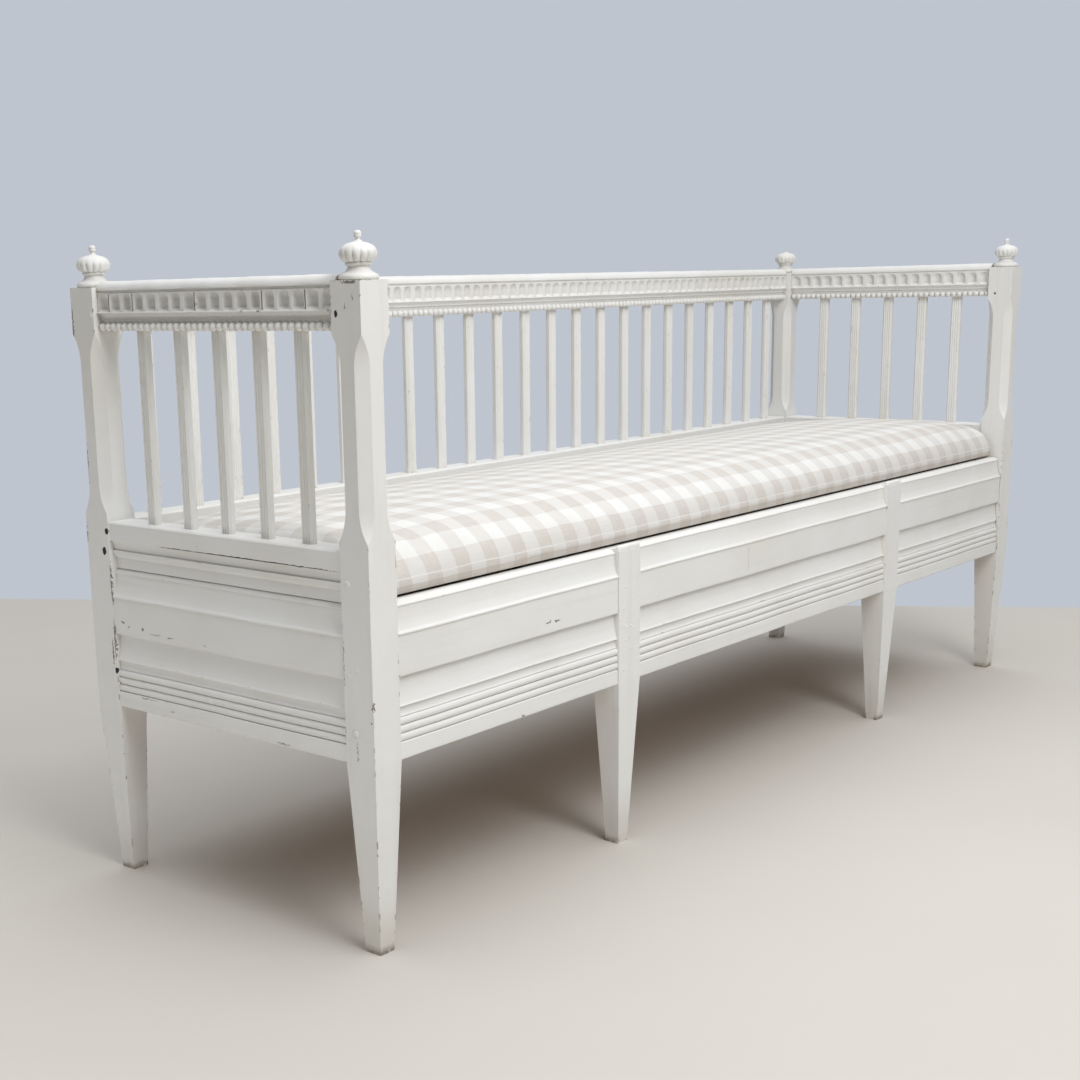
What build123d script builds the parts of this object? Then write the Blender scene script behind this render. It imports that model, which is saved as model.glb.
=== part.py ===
"""Late Gustavian pull-out bench bed in painted pine.

Four stop-chamfered corner posts with turned finials carry fluted and beaded top rails,
slatted ends and back, and moulded aprons.  The front apron is a shallow drawer on two
legs of its own: it slides forward, and its slats run between the slats of the frame.
The upholstered seat is a loose lid that lifts off.

Millimetres.  +Z is up, -Y is the front, and the origin is on the floor under the middle.
"""
import os

from build123d import *

# ---------------------------------------------------------------- driving dimensions
LENGTH = 1950.0             # over the outer faces of the posts, left to right
DEPTH = 547.0               # over the outer faces of the posts, front to back
POST_HEIGHT = 835.0         # floor to the top of a post, below its finial
POST_SIZE = 48.0            # square section of a post

APRON_BOTTOM = 252.0        # floor to the lower edge of the aprons, where the legs begin
APRON_HEIGHT = 199.0        # height of the moulded apron boards
APRON_BACKING = 26.0        # thickness of an apron board at its flat band
APRON_REVEAL = 2.0          # flat band of an apron behind the face of the posts
END_BOX_HEIGHT = 40.0       # crown moulding between an end apron and its seat rail
SEAT_RAIL_HEIGHT = 26.0     # seat rails that carry the spindles
SEAT_RAIL_WIDTH = 42.0      # their width, seen from above
SEAT_RAIL_EASE = 2.0        # chamfer along their upper edges

FOOT_SIZE = 25.5            # square end of a corner leg
FOOT_INSET = 13.0           # from the outer faces of a post to its foot
NECK_BOTTOM = 528.0         # floor to the lower end of the chamfered neck
NECK_TOP = 773.0            # floor to its upper end
NECK_CHAMFER = 13.0         # leg of the 45 degree chamfers of the neck
STOP_LENGTH = 38.0          # length of the curved stops that end them

TOP_RAIL_HEIGHT = 58.0      # underside of the bead to the top of the posts
TOP_RAIL_WIDTH = 32.0       # thickness at the fluted band
TOP_RAIL_CREST = 7.5        # rise of the weathered top above the posts
CREST_WIDTH = 10.0          # flat along the middle of that top
BEAD_HEIGHT = 10.0          # bead string along the lower edge
BEAD_INSET = 5.0            # root of the bead behind the fluted band
BEAD_SWELL = 3.4            # how far the bead stands out from that root
COVE_HEIGHT = 13.0          # hollow between the bead and the fillet
FILLET_HEIGHT = 2.5         # lip that the flutes stand on
FILLET_LIP = 1.2            # how far that lip stands out
FLUTE_WIDTH = 20.5          # round-topped flutes
FLUTE_HEIGHT = 23.0
FLUTE_DEPTH = 2.6
FLUTE_SHOULDER = 5.5        # cut across their upper corners
END_FLUTE_COUNT = 18
BACK_FLUTE_COUNT = 73

SPINDLE_WIDTH = 20.0        # flat spindles, seen square on
SPINDLE_DEPTH = 12.0
SPINDLE_BEVEL = 3.0         # splayed edges either side of the flat face
END_SPINDLE_COUNT = 5
BACK_SPINDLE_COUNT = 23
BACK_SPINDLE_INSET = 57.0   # post to the middle of the first back spindle
END_SPINDLE_INSET = 75.0    # post to the middle of the first end spindle

STILE_WIDTH = 54.0          # legs of the pull-out, seen from the front
STILE_DEPTH = 46.0          # their depth below the apron
STILE_FOOT = 22.7           # square end of such a leg
STILE_FOOT_SETBACK = 11.0   # from the front face to that foot
STILE_SPACING = 858.0       # middle to middle of the two legs
STILE_EASE = 3.0            # chamfer along the front of its top

TRAVEL_GAP = 1.5            # running gap at each end of the pull-out front
SIDE_THICKNESS = 18.0       # drawer sides
RUNNER_HEIGHT = 14.0
RUNNER_WIDTH = 38.0
LEDGER_HEIGHT = 20.0        # seat ledgers
LEDGER_DEPTH = 38.0
SLAT_RAIL_HEIGHT = 20.0     # rails under the slats
SLAT_RAIL_DEPTH = 24.0
SLAT_WIDTH = 50.0
SLAT_THICKNESS = 18.0
SLAT_GAP = 6.0              # between a sliding slat and its fixed neighbour
STOP_WIDTH = 24.0           # blocks that catch the tail rail when the front is drawn out
STOP_DEPTH = 14.7

SEAT_BOARD_THICKNESS = 8.0
SEAT_SETBACK = 44.0         # front edge of the seat board behind the posts' face
PAD_SETBACK = 14.0          # front of the pad behind the posts' face
PAD_HEIGHT = 72.0           # seat board to the crown of the pad
PAD_ROLL = 27.0             # radius of its front roll
PAD_FALL = 26.0             # fall from the crown to its rear edge
PAD_EASE = 14.0             # rounding of that edge
BATTEN_WIDTH = 40.0
BATTEN_SETBACK = 30.0       # front edge of the seat board to the battens
BATTEN_CLEARANCE = 8.0      # battens to the ledger behind them
BATTEN_INSET = 305.0        # end of the seat to the middle of the first batten

TENON_LENGTH = 16.0         # rails into posts
TENON_THICKNESS = 10.0
TENON_SHOULDER = 6.0        # from a rail's edges to its tenon
DOWEL_RADIUS = 6.0          # finial into post
DOWEL_LENGTH = 22.0

# named clearances
GLUE_GAP = 0.1              # round a tenon or dowel, in its mortise
SLIDE_GAP = 0.3             # under a sliding or lifting piece
SIDE_GAP = 2.0              # beside a sliding or lifting piece

# ---------------------------------------------------------------- places worked out
HALF_LENGTH = LENGTH / 2
HALF_DEPTH = DEPTH / 2
POST_X = HALF_LENGTH - POST_SIZE / 2
POST_Y = HALF_DEPTH - POST_SIZE / 2
INNER_X = HALF_LENGTH - POST_SIZE          # inner faces of the posts
INNER_Y = HALF_DEPTH - POST_SIZE
APRON_TOP = APRON_BOTTOM + APRON_HEIGHT
SEAT_RAIL_BOTTOM = APRON_TOP + END_BOX_HEIGHT
SEAT_RAIL_TOP = SEAT_RAIL_BOTTOM + SEAT_RAIL_HEIGHT
TOP_RAIL_BOTTOM = POST_HEIGHT - TOP_RAIL_HEIGHT
APRON_REAR = APRON_REVEAL + APRON_BACKING  # rear of an apron, from the posts' face
APRON_REAR_X = HALF_LENGTH - APRON_REAR
APRON_REAR_Y = HALF_DEPTH - APRON_REAR
SEAT_RAIL_INSET = APRON_REVEAL + SEAT_RAIL_WIDTH / 2

FLUTE_BOTTOM = TOP_RAIL_BOTTOM + BEAD_HEIGHT + COVE_HEIGHT + FILLET_HEIGHT
SIDE_OUTER = INNER_X - SIDE_GAP            # outer face of a drawer side
SIDE_INNER = SIDE_OUTER - SIDE_THICKNESS
SLAT_RAIL_TOP = APRON_BOTTOM + SLAT_RAIL_HEIGHT
RUNNER_TOP = APRON_BOTTOM + RUNNER_HEIGHT
LEDGER_TOP = APRON_TOP + SLIDE_GAP
LEDGER_BOTTOM = LEDGER_TOP - LEDGER_HEIGHT
LEDGER_FRONT = APRON_REAR_Y - LEDGER_DEPTH  # front of the back ledger
BACK_RAIL_FRONT = APRON_REAR_Y - SLAT_RAIL_DEPTH
TAIL_BACK = BACK_RAIL_FRONT - SIDE_GAP     # rear end of the pull-out
TAIL_FRONT = TAIL_BACK - SLAT_RAIL_DEPTH
FRONT_RAIL_BACK = -APRON_REAR_Y + SLAT_RAIL_DEPTH
STOP_FRONT = FRONT_RAIL_BACK + SIDE_GAP
STOP_BACK = STOP_FRONT + STOP_DEPTH
# the front draws out until the tail rail meets the stops: TAIL_FRONT - SLIDE_GAP - STOP_BACK
PAIRS = int((2 * SIDE_INNER + SLAT_GAP) / (2 * (SLAT_WIDTH + SLAT_GAP)))
SLATS = 2 * PAIRS                          # sliding and fixed slats together
SEAT_BOARD_TOP = LEDGER_TOP + SEAT_BOARD_THICKNESS
SEAT_BACK = INNER_Y - SIDE_GAP             # rear edge of the loose seat
SEAT_END = INNER_X - SIDE_GAP              # its ends


def save(piece, name):
    """Name a finished piece and write it out."""
    piece.part.label = name
    export_step(piece.part, f"parts/{name}.step")


def block(name, low, high):
    """A plain squared board between two corners."""
    size = [b - a for a, b in zip(low, high)]
    middle = [(a + b) / 2 for a, b in zip(low, high)]
    with BuildPart() as board:
        with Locations(tuple(middle)):
            Box(*size)
    save(board, name)


def end_plane(x):
    """Section plane of a piece that runs front to back: local x is +X, local y is +Z."""
    return Plane(origin=(x, 0, 0), x_dir=(1, 0, 0), z_dir=(0, -1, 0))


def long_plane(y):
    """Section plane of a piece that runs left to right: local x is +Y, local y is +Z."""
    return Plane(origin=(0, y, 0), x_dir=(0, 1, 0), z_dir=(1, 0, 0))


# ---------------------------------------------------------------- posts and legs
# each rail level of the frame: bottom and top of its tenon, and how far the tenon's
# middle lies behind the outer face of the post
APRON_TENON = (APRON_BOTTOM + TENON_SHOULDER, APRON_TOP - TENON_SHOULDER, APRON_REVEAL + APRON_BACKING / 2)
SEAT_TENON = (SEAT_RAIL_BOTTOM + TENON_SHOULDER, SEAT_RAIL_TOP - TENON_SHOULDER, SEAT_RAIL_INSET)
TOP_TENON = (FLUTE_BOTTOM, POST_HEIGHT - TENON_SHOULDER, POST_SIZE / 2)


def cut_mortise(side, end, along_x, tenon):
    """One mortise in the post at this side and end, for a rail along X or along Y."""
    low, high, inset = tenon
    wide = TENON_THICKNESS + 2 * GLUE_GAP
    tall = high - low + 2 * GLUE_GAP
    if along_x:
        spot = (side * (INNER_X + TENON_LENGTH / 2), end * (HALF_DEPTH - inset), (low + high) / 2)
        size = (TENON_LENGTH, wide, tall)
    else:
        spot = (side * (HALF_LENGTH - inset), end * (INNER_Y + TENON_LENGTH / 2), (low + high) / 2)
        size = (wide, TENON_LENGTH, tall)
    with Locations(spot):
        Box(*size, mode=Mode.SUBTRACT)


def make_post(name, side, end):
    """A corner post: side is -1 left or +1 right, end is -1 front or +1 back."""
    x = side * POST_X
    y = end * POST_Y
    foot_shift = POST_SIZE / 2 - FOOT_INSET - FOOT_SIZE / 2
    corner = POST_SIZE / 2 * 2 ** 0.5
    flat = corner - NECK_CHAMFER / 2 ** 0.5
    outside = corner + STOP_LENGTH
    with BuildPart() as post:
        with BuildSketch(Plane.XY):
            with Locations((x + side * foot_shift, y + end * foot_shift)):
                Rectangle(FOOT_SIZE, FOOT_SIZE)
        with BuildSketch(Plane.XY.offset(APRON_BOTTOM)):
            with Locations((x, y)):
                Rectangle(POST_SIZE, POST_SIZE)
        loft()
        with BuildSketch(Plane.XY.offset(APRON_BOTTOM)):
            with Locations((x, y)):
                Rectangle(POST_SIZE, POST_SIZE)
        extrude(amount=POST_HEIGHT - APRON_BOTTOM)
        # chamfers of the neck, each ending in a curved lamb's-tongue stop
        for turn in (45, 135, 225, 315):
            outward = Vector(1, 0, 0).rotate(Axis.Z, turn)
            across = outward.cross(Vector(0, 0, 1))
            with BuildSketch(Plane(origin=(x, y, 0), x_dir=outward, z_dir=across)):
                with BuildLine():
                    lower = (corner, NECK_BOTTOM)
                    lower_flat = (flat, NECK_BOTTOM + STOP_LENGTH)
                    upper_flat = (flat, NECK_TOP - STOP_LENGTH)
                    upper = (corner, NECK_TOP)
                    TangentArc(lower_flat, lower, tangent=(0, -1))
                    Line(lower_flat, upper_flat)
                    TangentArc(upper_flat, upper, tangent=(0, 1))
                    Polyline(upper, (outside, NECK_TOP), (outside, NECK_BOTTOM), lower)
                make_face()
            extrude(amount=POST_SIZE / 2, both=True, mode=Mode.SUBTRACT)
        for tenon in (APRON_TENON, SEAT_TENON, TOP_TENON):
            cut_mortise(side, end, False, tenon)
            if end > 0:
                cut_mortise(side, end, True, tenon)
        with Locations((x, y, POST_HEIGHT - DOWEL_LENGTH / 2)):
            Cylinder(DOWEL_RADIUS + GLUE_GAP, DOWEL_LENGTH, mode=Mode.SUBTRACT)
    save(post, name)


# finial profile: heights above the post and radii, from the turned base to the knob
BASE_RADIUS = 23.8
BASE_HEIGHT = 6.5
BASE_ROUND = 1.0            # eased edges of the disc
FLARE_RADIUS = 17.8         # where the neck leaves the disc
NECK_RADIUS = 12.8
NECK_LEVEL = 15.0
RING_BOTTOM = 16.2
RING_RADIUS = 15.5
BUN_BOTTOM = 22.0
BUN_FOOT = 16.0             # radius of the bun's underside
BUN_RADIUS = 22.9
BUN_WIDEST = 30.2
BUN_TOP = 42.5
COLLAR_RADIUS = 5.4
COLLAR_HEIGHT = 2.0
KNOB_FOOT = 2.8             # radius where the knob leaves its collar
KNOB_RADIUS = 4.6
KNOB_HEIGHT = 9.2
KNOB_POINT = 2.3            # turned tip over the knob
STUB_HEIGHT = 3.0           # what is left where the knob has broken off


def make_finial(name, side, end, knob):
    """A turned finial: base disc, neck, ring, flattened bun and, where it is kept, a knob."""
    place = Plane(origin=(side * POST_X, end * POST_Y, POST_HEIGHT), x_dir=(1, 0, 0), z_dir=(0, -1, 0))
    rim = BASE_RADIUS - BASE_ROUND
    knob_bottom = BUN_TOP + COLLAR_HEIGHT
    knob_top = knob_bottom + KNOB_HEIGHT
    tip = knob_top + KNOB_POINT if knob else BUN_TOP + STUB_HEIGHT
    with BuildPart() as finial:
        with BuildSketch(place):
            with BuildLine():
                Polyline((0, -DOWEL_LENGTH), (DOWEL_RADIUS, -DOWEL_LENGTH), (DOWEL_RADIUS, 0), (rim, 0))
                Polyline((rim, 0), (BASE_RADIUS, BASE_ROUND), (BASE_RADIUS, BASE_HEIGHT - BASE_ROUND))
                Polyline((BASE_RADIUS, BASE_HEIGHT - BASE_ROUND), (rim, BASE_HEIGHT), (FLARE_RADIUS, BASE_HEIGHT))
                TangentArc((NECK_RADIUS, NECK_LEVEL), (FLARE_RADIUS, BASE_HEIGHT), tangent=(0, -1))
                Line((NECK_RADIUS, NECK_LEVEL), (NECK_RADIUS, RING_BOTTOM))
                ring_side = (RING_RADIUS, (RING_BOTTOM + BUN_BOTTOM) / 2)
                Polyline((NECK_RADIUS, RING_BOTTOM), ring_side, (NECK_RADIUS, BUN_BOTTOM))
                Line((NECK_RADIUS, BUN_BOTTOM), (BUN_FOOT, BUN_BOTTOM))
                ThreePointArc((BUN_FOOT, BUN_BOTTOM), (BUN_RADIUS, BUN_WIDEST), (COLLAR_RADIUS, BUN_TOP))
                if knob:
                    Polyline((COLLAR_RADIUS, BUN_TOP), (COLLAR_RADIUS, knob_bottom), (KNOB_FOOT, knob_bottom))
                    knob_side = (KNOB_RADIUS, knob_bottom + KNOB_HEIGHT / 2)
                    Polyline((KNOB_FOOT, knob_bottom), knob_side, (KNOB_FOOT, knob_top), (0, tip))
                else:
                    Polyline((COLLAR_RADIUS, BUN_TOP), (COLLAR_RADIUS, tip), (0, tip))
                Line((0, tip), (0, -DOWEL_LENGTH))
            make_face()
        axis = Axis((side * POST_X, end * POST_Y, POST_HEIGHT), (0, 0, 1))
        revolve(axis=axis)
    save(finial, name)


# ---------------------------------------------------------------- rails between the posts
def top_rail_outline():
    """Half the moulded section of a top rail, as points and arcs about its middle plane."""
    half = TOP_RAIL_WIDTH / 2
    root = half - BEAD_INSET
    bead_top = TOP_RAIL_BOTTOM + BEAD_HEIGHT
    cove_top = bead_top + COVE_HEIGHT
    for sign in (1, -1):
        Line((0, TOP_RAIL_BOTTOM), (sign * root, TOP_RAIL_BOTTOM))
        bead = (sign * (root + BEAD_SWELL), TOP_RAIL_BOTTOM + BEAD_HEIGHT / 2)
        ThreePointArc((sign * root, TOP_RAIL_BOTTOM), bead, (sign * root, bead_top))
        TangentArc((sign * root, bead_top), (sign * half, cove_top), tangent=(0, 1))
        lip = sign * (half + FILLET_LIP)
        Polyline((sign * half, cove_top), (lip, cove_top), (lip, FLUTE_BOTTOM), (sign * half, FLUTE_BOTTOM))
        Line((sign * half, FLUTE_BOTTOM), (sign * half, POST_HEIGHT))
        crest = (sign * CREST_WIDTH / 2, POST_HEIGHT + TOP_RAIL_CREST)
        Polyline((sign * half, POST_HEIGHT), crest, (0, POST_HEIGHT + TOP_RAIL_CREST))


def cut_flutes(plane, span, count):
    """A row of flutes into the face on this plane, whose normal points out of the wood."""
    with BuildSketch(plane) as row:
        with GridLocations(span / count, 0, count, 1):
            Rectangle(FLUTE_WIDTH, FLUTE_HEIGHT, align=(Align.CENTER, Align.MIN))
        chamfer(row.vertices().group_by(Axis.Z)[-1], FLUTE_SHOULDER)
    extrude(row.sketch, amount=-FLUTE_DEPTH, mode=Mode.SUBTRACT)


def add_tenons(centre, along_x, reach, tenon):
    """A tenon at each end of a rail whose shoulders are at +-reach from its middle."""
    low, high, inset = tenon
    for sign in (-1, 1):
        shift = sign * (reach + TENON_LENGTH / 2)
        if along_x:
            with Locations((shift, centre, (low + high) / 2)):
                Box(TENON_LENGTH, TENON_THICKNESS, high - low)
        else:
            with Locations((centre, shift, (low + high) / 2)):
                Box(TENON_THICKNESS, TENON_LENGTH, high - low)


def make_end_top_rail(name, side):
    x = side * POST_X
    with BuildPart() as rail:
        with BuildSketch(end_plane(x)):
            with BuildLine():
                top_rail_outline()
            make_face()
        extrude(amount=INNER_Y, both=True)
        for face in (1, -1):
            origin = (x + face * TOP_RAIL_WIDTH / 2, 0, FLUTE_BOTTOM)
            plane = Plane(origin=origin, x_dir=(0, face, 0), z_dir=(face, 0, 0))
            cut_flutes(plane, 2 * INNER_Y, END_FLUTE_COUNT)
        add_tenons(x, False, INNER_Y, TOP_TENON)
    save(rail, name)


def make_back_top_rail():
    y = POST_Y
    with BuildPart() as rail:
        with BuildSketch(long_plane(y)):
            with BuildLine():
                top_rail_outline()
            make_face()
        extrude(amount=INNER_X, both=True)
        origin = (0, y - TOP_RAIL_WIDTH / 2, FLUTE_BOTTOM)
        plane = Plane(origin=origin, x_dir=(1, 0, 0), z_dir=(0, -1, 0))
        cut_flutes(plane, 2 * INNER_X, BACK_FLUTE_COUNT)
        add_tenons(y, True, INNER_X, TOP_TENON)
    save(rail, "back_top_rail")


def make_seat_rail(name, centre, along_x, reach):
    """A squared seat rail with eased upper edges."""
    plane = long_plane(centre) if along_x else end_plane(centre)
    with BuildPart() as rail:
        with BuildSketch(plane):
            with Locations((0, SEAT_RAIL_BOTTOM)):
                Rectangle(SEAT_RAIL_WIDTH, SEAT_RAIL_HEIGHT, align=(Align.CENTER, Align.MIN))
        extrude(amount=reach, both=True)
        upper_edges = rail.edges().filter_by(Axis.X if along_x else Axis.Y).group_by(Axis.Z)[-1]
        chamfer(upper_edges, SEAT_RAIL_EASE)
        add_tenons(centre, along_x, reach, SEAT_TENON)
    save(rail, name)


def make_spindles(name, plane, spots, along_x):
    """Spindles between the seat rail and the top rail, one at each spot on this plane."""
    wide, deep = (SPINDLE_WIDTH / 2, SPINDLE_DEPTH / 2) if along_x else (SPINDLE_DEPTH / 2, SPINDLE_WIDTH / 2)
    cut = SPINDLE_BEVEL
    corner = [(wide - cut, deep), (wide, deep - cut), (wide, cut - deep), (wide - cut, -deep)]
    section = corner + [(-u, -v) for u, v in corner]
    with BuildPart() as row:
        with BuildSketch(plane):
            with Locations(*spots):
                Polygon(*section, align=None)
        extrude(amount=TOP_RAIL_BOTTOM - SEAT_RAIL_TOP)
    save(row, name)


# apron section from the top down: heights of its bands, and how far each lies behind the
# face of the posts
HOLLOW_HEIGHT = 38.0
HOLLOW_DEPTH = 8.5          # at the apron's top edge
HOLLOW_FOOT = 3.6           # at the bottom of the hollow
LIP_HEIGHT = 2.5
LIP_DEPTH = 0.8
BAND_HEIGHT = 53.0
RECESS_HEIGHT = 38.0
RECESS_DEPTH = 8.5          # at the top of the lower hollow
RECESS_FOOT = 4.2           # at its bottom
FASCIA_HEIGHT = 13.5
FASCIA_DEPTH = 6.0
REED_HEIGHT = 10.5
REED_DEPTH = 7.0
REEDS = 3


def apron_outline(face, inward):
    """Moulded section of an apron, from the posts' face at this place going inward."""
    def at(depth, level):
        return (face + inward * depth, level)

    lip_top = APRON_TOP - HOLLOW_HEIGHT
    band_top = lip_top - LIP_HEIGHT
    band_bottom = band_top - BAND_HEIGHT
    fascia_top = band_bottom - RECESS_HEIGHT
    reed_top = fascia_top - FASCIA_HEIGHT
    Line(at(APRON_REAR, APRON_TOP), at(HOLLOW_DEPTH, APRON_TOP))
    TangentArc(at(HOLLOW_DEPTH, APRON_TOP), at(HOLLOW_FOOT, lip_top), tangent=(0, -1))
    Polyline(at(HOLLOW_FOOT, lip_top), at(LIP_DEPTH, lip_top), at(LIP_DEPTH, band_top))
    Polyline(at(LIP_DEPTH, band_top), at(APRON_REVEAL, band_top), at(APRON_REVEAL, band_bottom))
    Line(at(APRON_REVEAL, band_bottom), at(RECESS_DEPTH, band_bottom))
    TangentArc(at(RECESS_DEPTH, band_bottom), at(RECESS_FOOT, fascia_top), tangent=(0, -1))
    Polyline(at(RECESS_FOOT, fascia_top), at(FASCIA_DEPTH, fascia_top), at(FASCIA_DEPTH, reed_top))
    Line(at(FASCIA_DEPTH, reed_top), at(REED_DEPTH, reed_top))
    for reed in range(REEDS):
        upper = reed_top - reed * REED_HEIGHT
        lower = upper - REED_HEIGHT
        ThreePointArc(at(REED_DEPTH, upper), at(APRON_REVEAL, (upper + lower) / 2), at(REED_DEPTH, lower))
    Polyline(at(REED_DEPTH, lower), at(APRON_REVEAL, lower), at(APRON_REVEAL, APRON_BOTTOM))
    Polyline(at(APRON_REVEAL, APRON_BOTTOM), at(APRON_REAR, APRON_BOTTOM), at(APRON_REAR, APRON_TOP))


def make_end_apron(name, side):
    with BuildPart() as apron:
        with BuildSketch(end_plane(0)):
            with BuildLine():
                apron_outline(side * HALF_LENGTH, -side)
            make_face()
        extrude(amount=INNER_Y, both=True)
        add_tenons(side * (HALF_LENGTH - APRON_TENON[2]), False, INNER_Y, APRON_TENON)
    save(apron, name)


# crown moulding under an end seat rail, from the top down: heights, and depths behind the
# face of the posts
CROWN_OVERHANG = 5.0
CROWN_COVE = 14.0
CROWN_NECK = 9.0
CROWN_BEAD = 6.3
CROWN_LIP = 11.0
CROWN_BACK = 12.0


def make_crown(name, side):
    """Crown moulding between the end apron and its seat rail."""
    def at(depth, level):
        return (side * (HALF_LENGTH - depth), level)

    cove_bottom = SEAT_RAIL_BOTTOM - CROWN_COVE
    lip_bottom = cove_bottom - CROWN_LIP
    with BuildPart() as crown:
        with BuildSketch(end_plane(0)):
            with BuildLine():
                Line(at(APRON_REAR, SEAT_RAIL_BOTTOM), at(CROWN_OVERHANG, SEAT_RAIL_BOTTOM))
                TangentArc(at(CROWN_NECK, cove_bottom), at(CROWN_OVERHANG, SEAT_RAIL_BOTTOM), tangent=(0, 1))
                Line(at(CROWN_NECK, cove_bottom), at(CROWN_BEAD, cove_bottom))
                TangentArc(at(CROWN_BEAD, cove_bottom), at(CROWN_BACK, lip_bottom), tangent=(0, -1))
                Polyline(at(CROWN_BACK, lip_bottom), at(CROWN_BACK, APRON_TOP), at(APRON_REAR, APRON_TOP))
                Line(at(APRON_REAR, APRON_TOP), at(APRON_REAR, SEAT_RAIL_BOTTOM))
            make_face()
        extrude(amount=INNER_Y, both=True)
    save(crown, name)


def make_back_apron():
    """Plain board behind the seat, from the legs up to the back seat rail."""
    tall = SEAT_RAIL_BOTTOM - APRON_BOTTOM
    middle = HALF_DEPTH - APRON_REVEAL - APRON_BACKING / 2
    with BuildPart() as apron:
        with Locations((0, middle, APRON_BOTTOM + tall / 2)):
            Box(2 * INNER_X, APRON_BACKING, tall)
        add_tenons(middle, True, INNER_X, APRON_TENON)
    save(apron, "back_apron")


# ---------------------------------------------------------------- the pull-out
def leg_mortise_span():
    """Bottom and top of the tenons between the front boards and the two middle legs."""
    return (APRON_BOTTOM + TENON_SHOULDER, APRON_TOP - HOLLOW_HEIGHT)


def make_front_board(name, left, right, tenon_left, tenon_right):
    """One moulded board of the pull-out's front, tenoned into the legs beside it."""
    low, high = leg_mortise_span()
    middle = -HALF_DEPTH + APRON_REVEAL + APRON_BACKING / 2
    with BuildPart() as board:
        with BuildSketch(Plane(origin=(left, 0, 0), x_dir=(0, 1, 0), z_dir=(1, 0, 0))):
            with BuildLine():
                apron_outline(-HALF_DEPTH, 1)
            make_face()
        extrude(amount=right - left)
        ends = [(left, -1)] if tenon_left else []
        ends += [(right, 1)] if tenon_right else []
        for shoulder, sign in ends:
            with Locations((shoulder + sign * TENON_LENGTH / 2, middle, (low + high) / 2)):
                Box(TENON_LENGTH, TENON_THICKNESS, high - low)
    save(board, name)


def make_middle_leg(name, x):
    """A leg of the pull-out: a squared stile, shouldered behind, over a tapered foot."""
    low, high = leg_mortise_span()
    middle = -HALF_DEPTH + APRON_REVEAL + APRON_BACKING / 2
    with BuildPart() as leg:
        with BuildSketch(Plane.XY):
            with Locations((x, -HALF_DEPTH + STILE_FOOT_SETBACK + STILE_FOOT / 2)):
                Rectangle(STILE_FOOT, STILE_FOOT)
        with BuildSketch(Plane.XY.offset(APRON_BOTTOM)):
            with Locations((x, -HALF_DEPTH + STILE_DEPTH / 2)):
                Rectangle(STILE_WIDTH, STILE_DEPTH)
        loft()
        with BuildSketch(Plane.XY.offset(APRON_BOTTOM)):
            with Locations((x, -HALF_DEPTH + APRON_REAR / 2)):
                Rectangle(STILE_WIDTH, APRON_REAR)
        extrude(amount=APRON_HEIGHT)
        chamfer(leg.edges().group_by(Axis.Z)[-1].sort_by(Axis.Y)[0], STILE_EASE)
        for sign in (-1, 1):
            shift = x + sign * (STILE_WIDTH - TENON_LENGTH) / 2
            with Locations((shift, middle, (low + high) / 2)):
                wide = TENON_THICKNESS + 2 * GLUE_GAP
                Box(TENON_LENGTH, wide, high - low + 2 * GLUE_GAP, mode=Mode.SUBTRACT)
    save(leg, name)


def slat_middles():
    """X of every slat, left to right, in one even row between the drawer sides."""
    step = SLAT_WIDTH + SLAT_GAP
    return [(index - (SLATS - 1) / 2) * step for index in range(SLATS)]


def make_slats(name, middles, front, back, bottom):
    """Loose-laid slats that run front to back, one at each of these places."""
    with BuildPart() as slats:
        for x in middles:
            with Locations((x, (front + back) / 2, bottom + SLAT_THICKNESS / 2)):
                Box(SLAT_WIDTH, back - front, SLAT_THICKNESS)
    save(slats, name)


# ---------------------------------------------------------------- the loose seat
def make_pad():
    """Upholstered pad with a full front roll, a crowned top and rounded ends, drawn plain."""
    front = -HALF_DEPTH + PAD_SETBACK
    bottom = SEAT_BOARD_TOP
    crown = bottom + PAD_HEIGHT
    nose = (front, bottom + PAD_ROLL)
    shoulder = (front + PAD_ROLL, bottom + 2 * PAD_ROLL)
    middle = ((front + SEAT_BACK) / 2, crown)
    heel = (SEAT_BACK, crown - PAD_FALL)
    with BuildPart() as pad:
        with BuildSketch(long_plane(0)):
            with BuildLine():
                TangentArc(nose, (front + PAD_ROLL, bottom), tangent=(0, -1))
                TangentArc(nose, shoulder, tangent=(0, 1))
                ThreePointArc(shoulder, middle, heel)
                Polyline(heel, (SEAT_BACK, bottom), (front + PAD_ROLL, bottom))
            make_face()
        extrude(amount=SEAT_END, both=True)
        fillet(pad.edges().filter_by(Axis.X).group_by(Axis.Y)[-1].sort_by(Axis.Z)[-1], PAD_EASE)
    save(pad, "seat_pad")


# ---------------------------------------------------------------- build everything
def build_posts():
    for side, side_name in ((-1, "left"), (1, "right")):
        for end, end_name in ((-1, "front"), (1, "back")):
            make_post(f"{end_name}_{side_name}_post", side, end)
            kept_knob = not (side > 0 and end > 0)
            make_finial(f"{end_name}_{side_name}_finial", side, end, kept_knob)


def build_rails():
    seat_y = HALF_DEPTH - SEAT_RAIL_INSET
    for side, side_name in ((-1, "left"), (1, "right")):
        make_end_top_rail(f"{side_name}_top_rail", side)
        make_seat_rail(f"{side_name}_seat_rail", side * (HALF_LENGTH - SEAT_RAIL_INSET), False, INNER_Y)
        make_end_apron(f"{side_name}_apron", side)
        make_crown(f"{side_name}_crown_moulding", side)
    make_back_top_rail()
    make_seat_rail("back_seat_rail", seat_y, True, INNER_X)
    make_back_apron()


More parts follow.
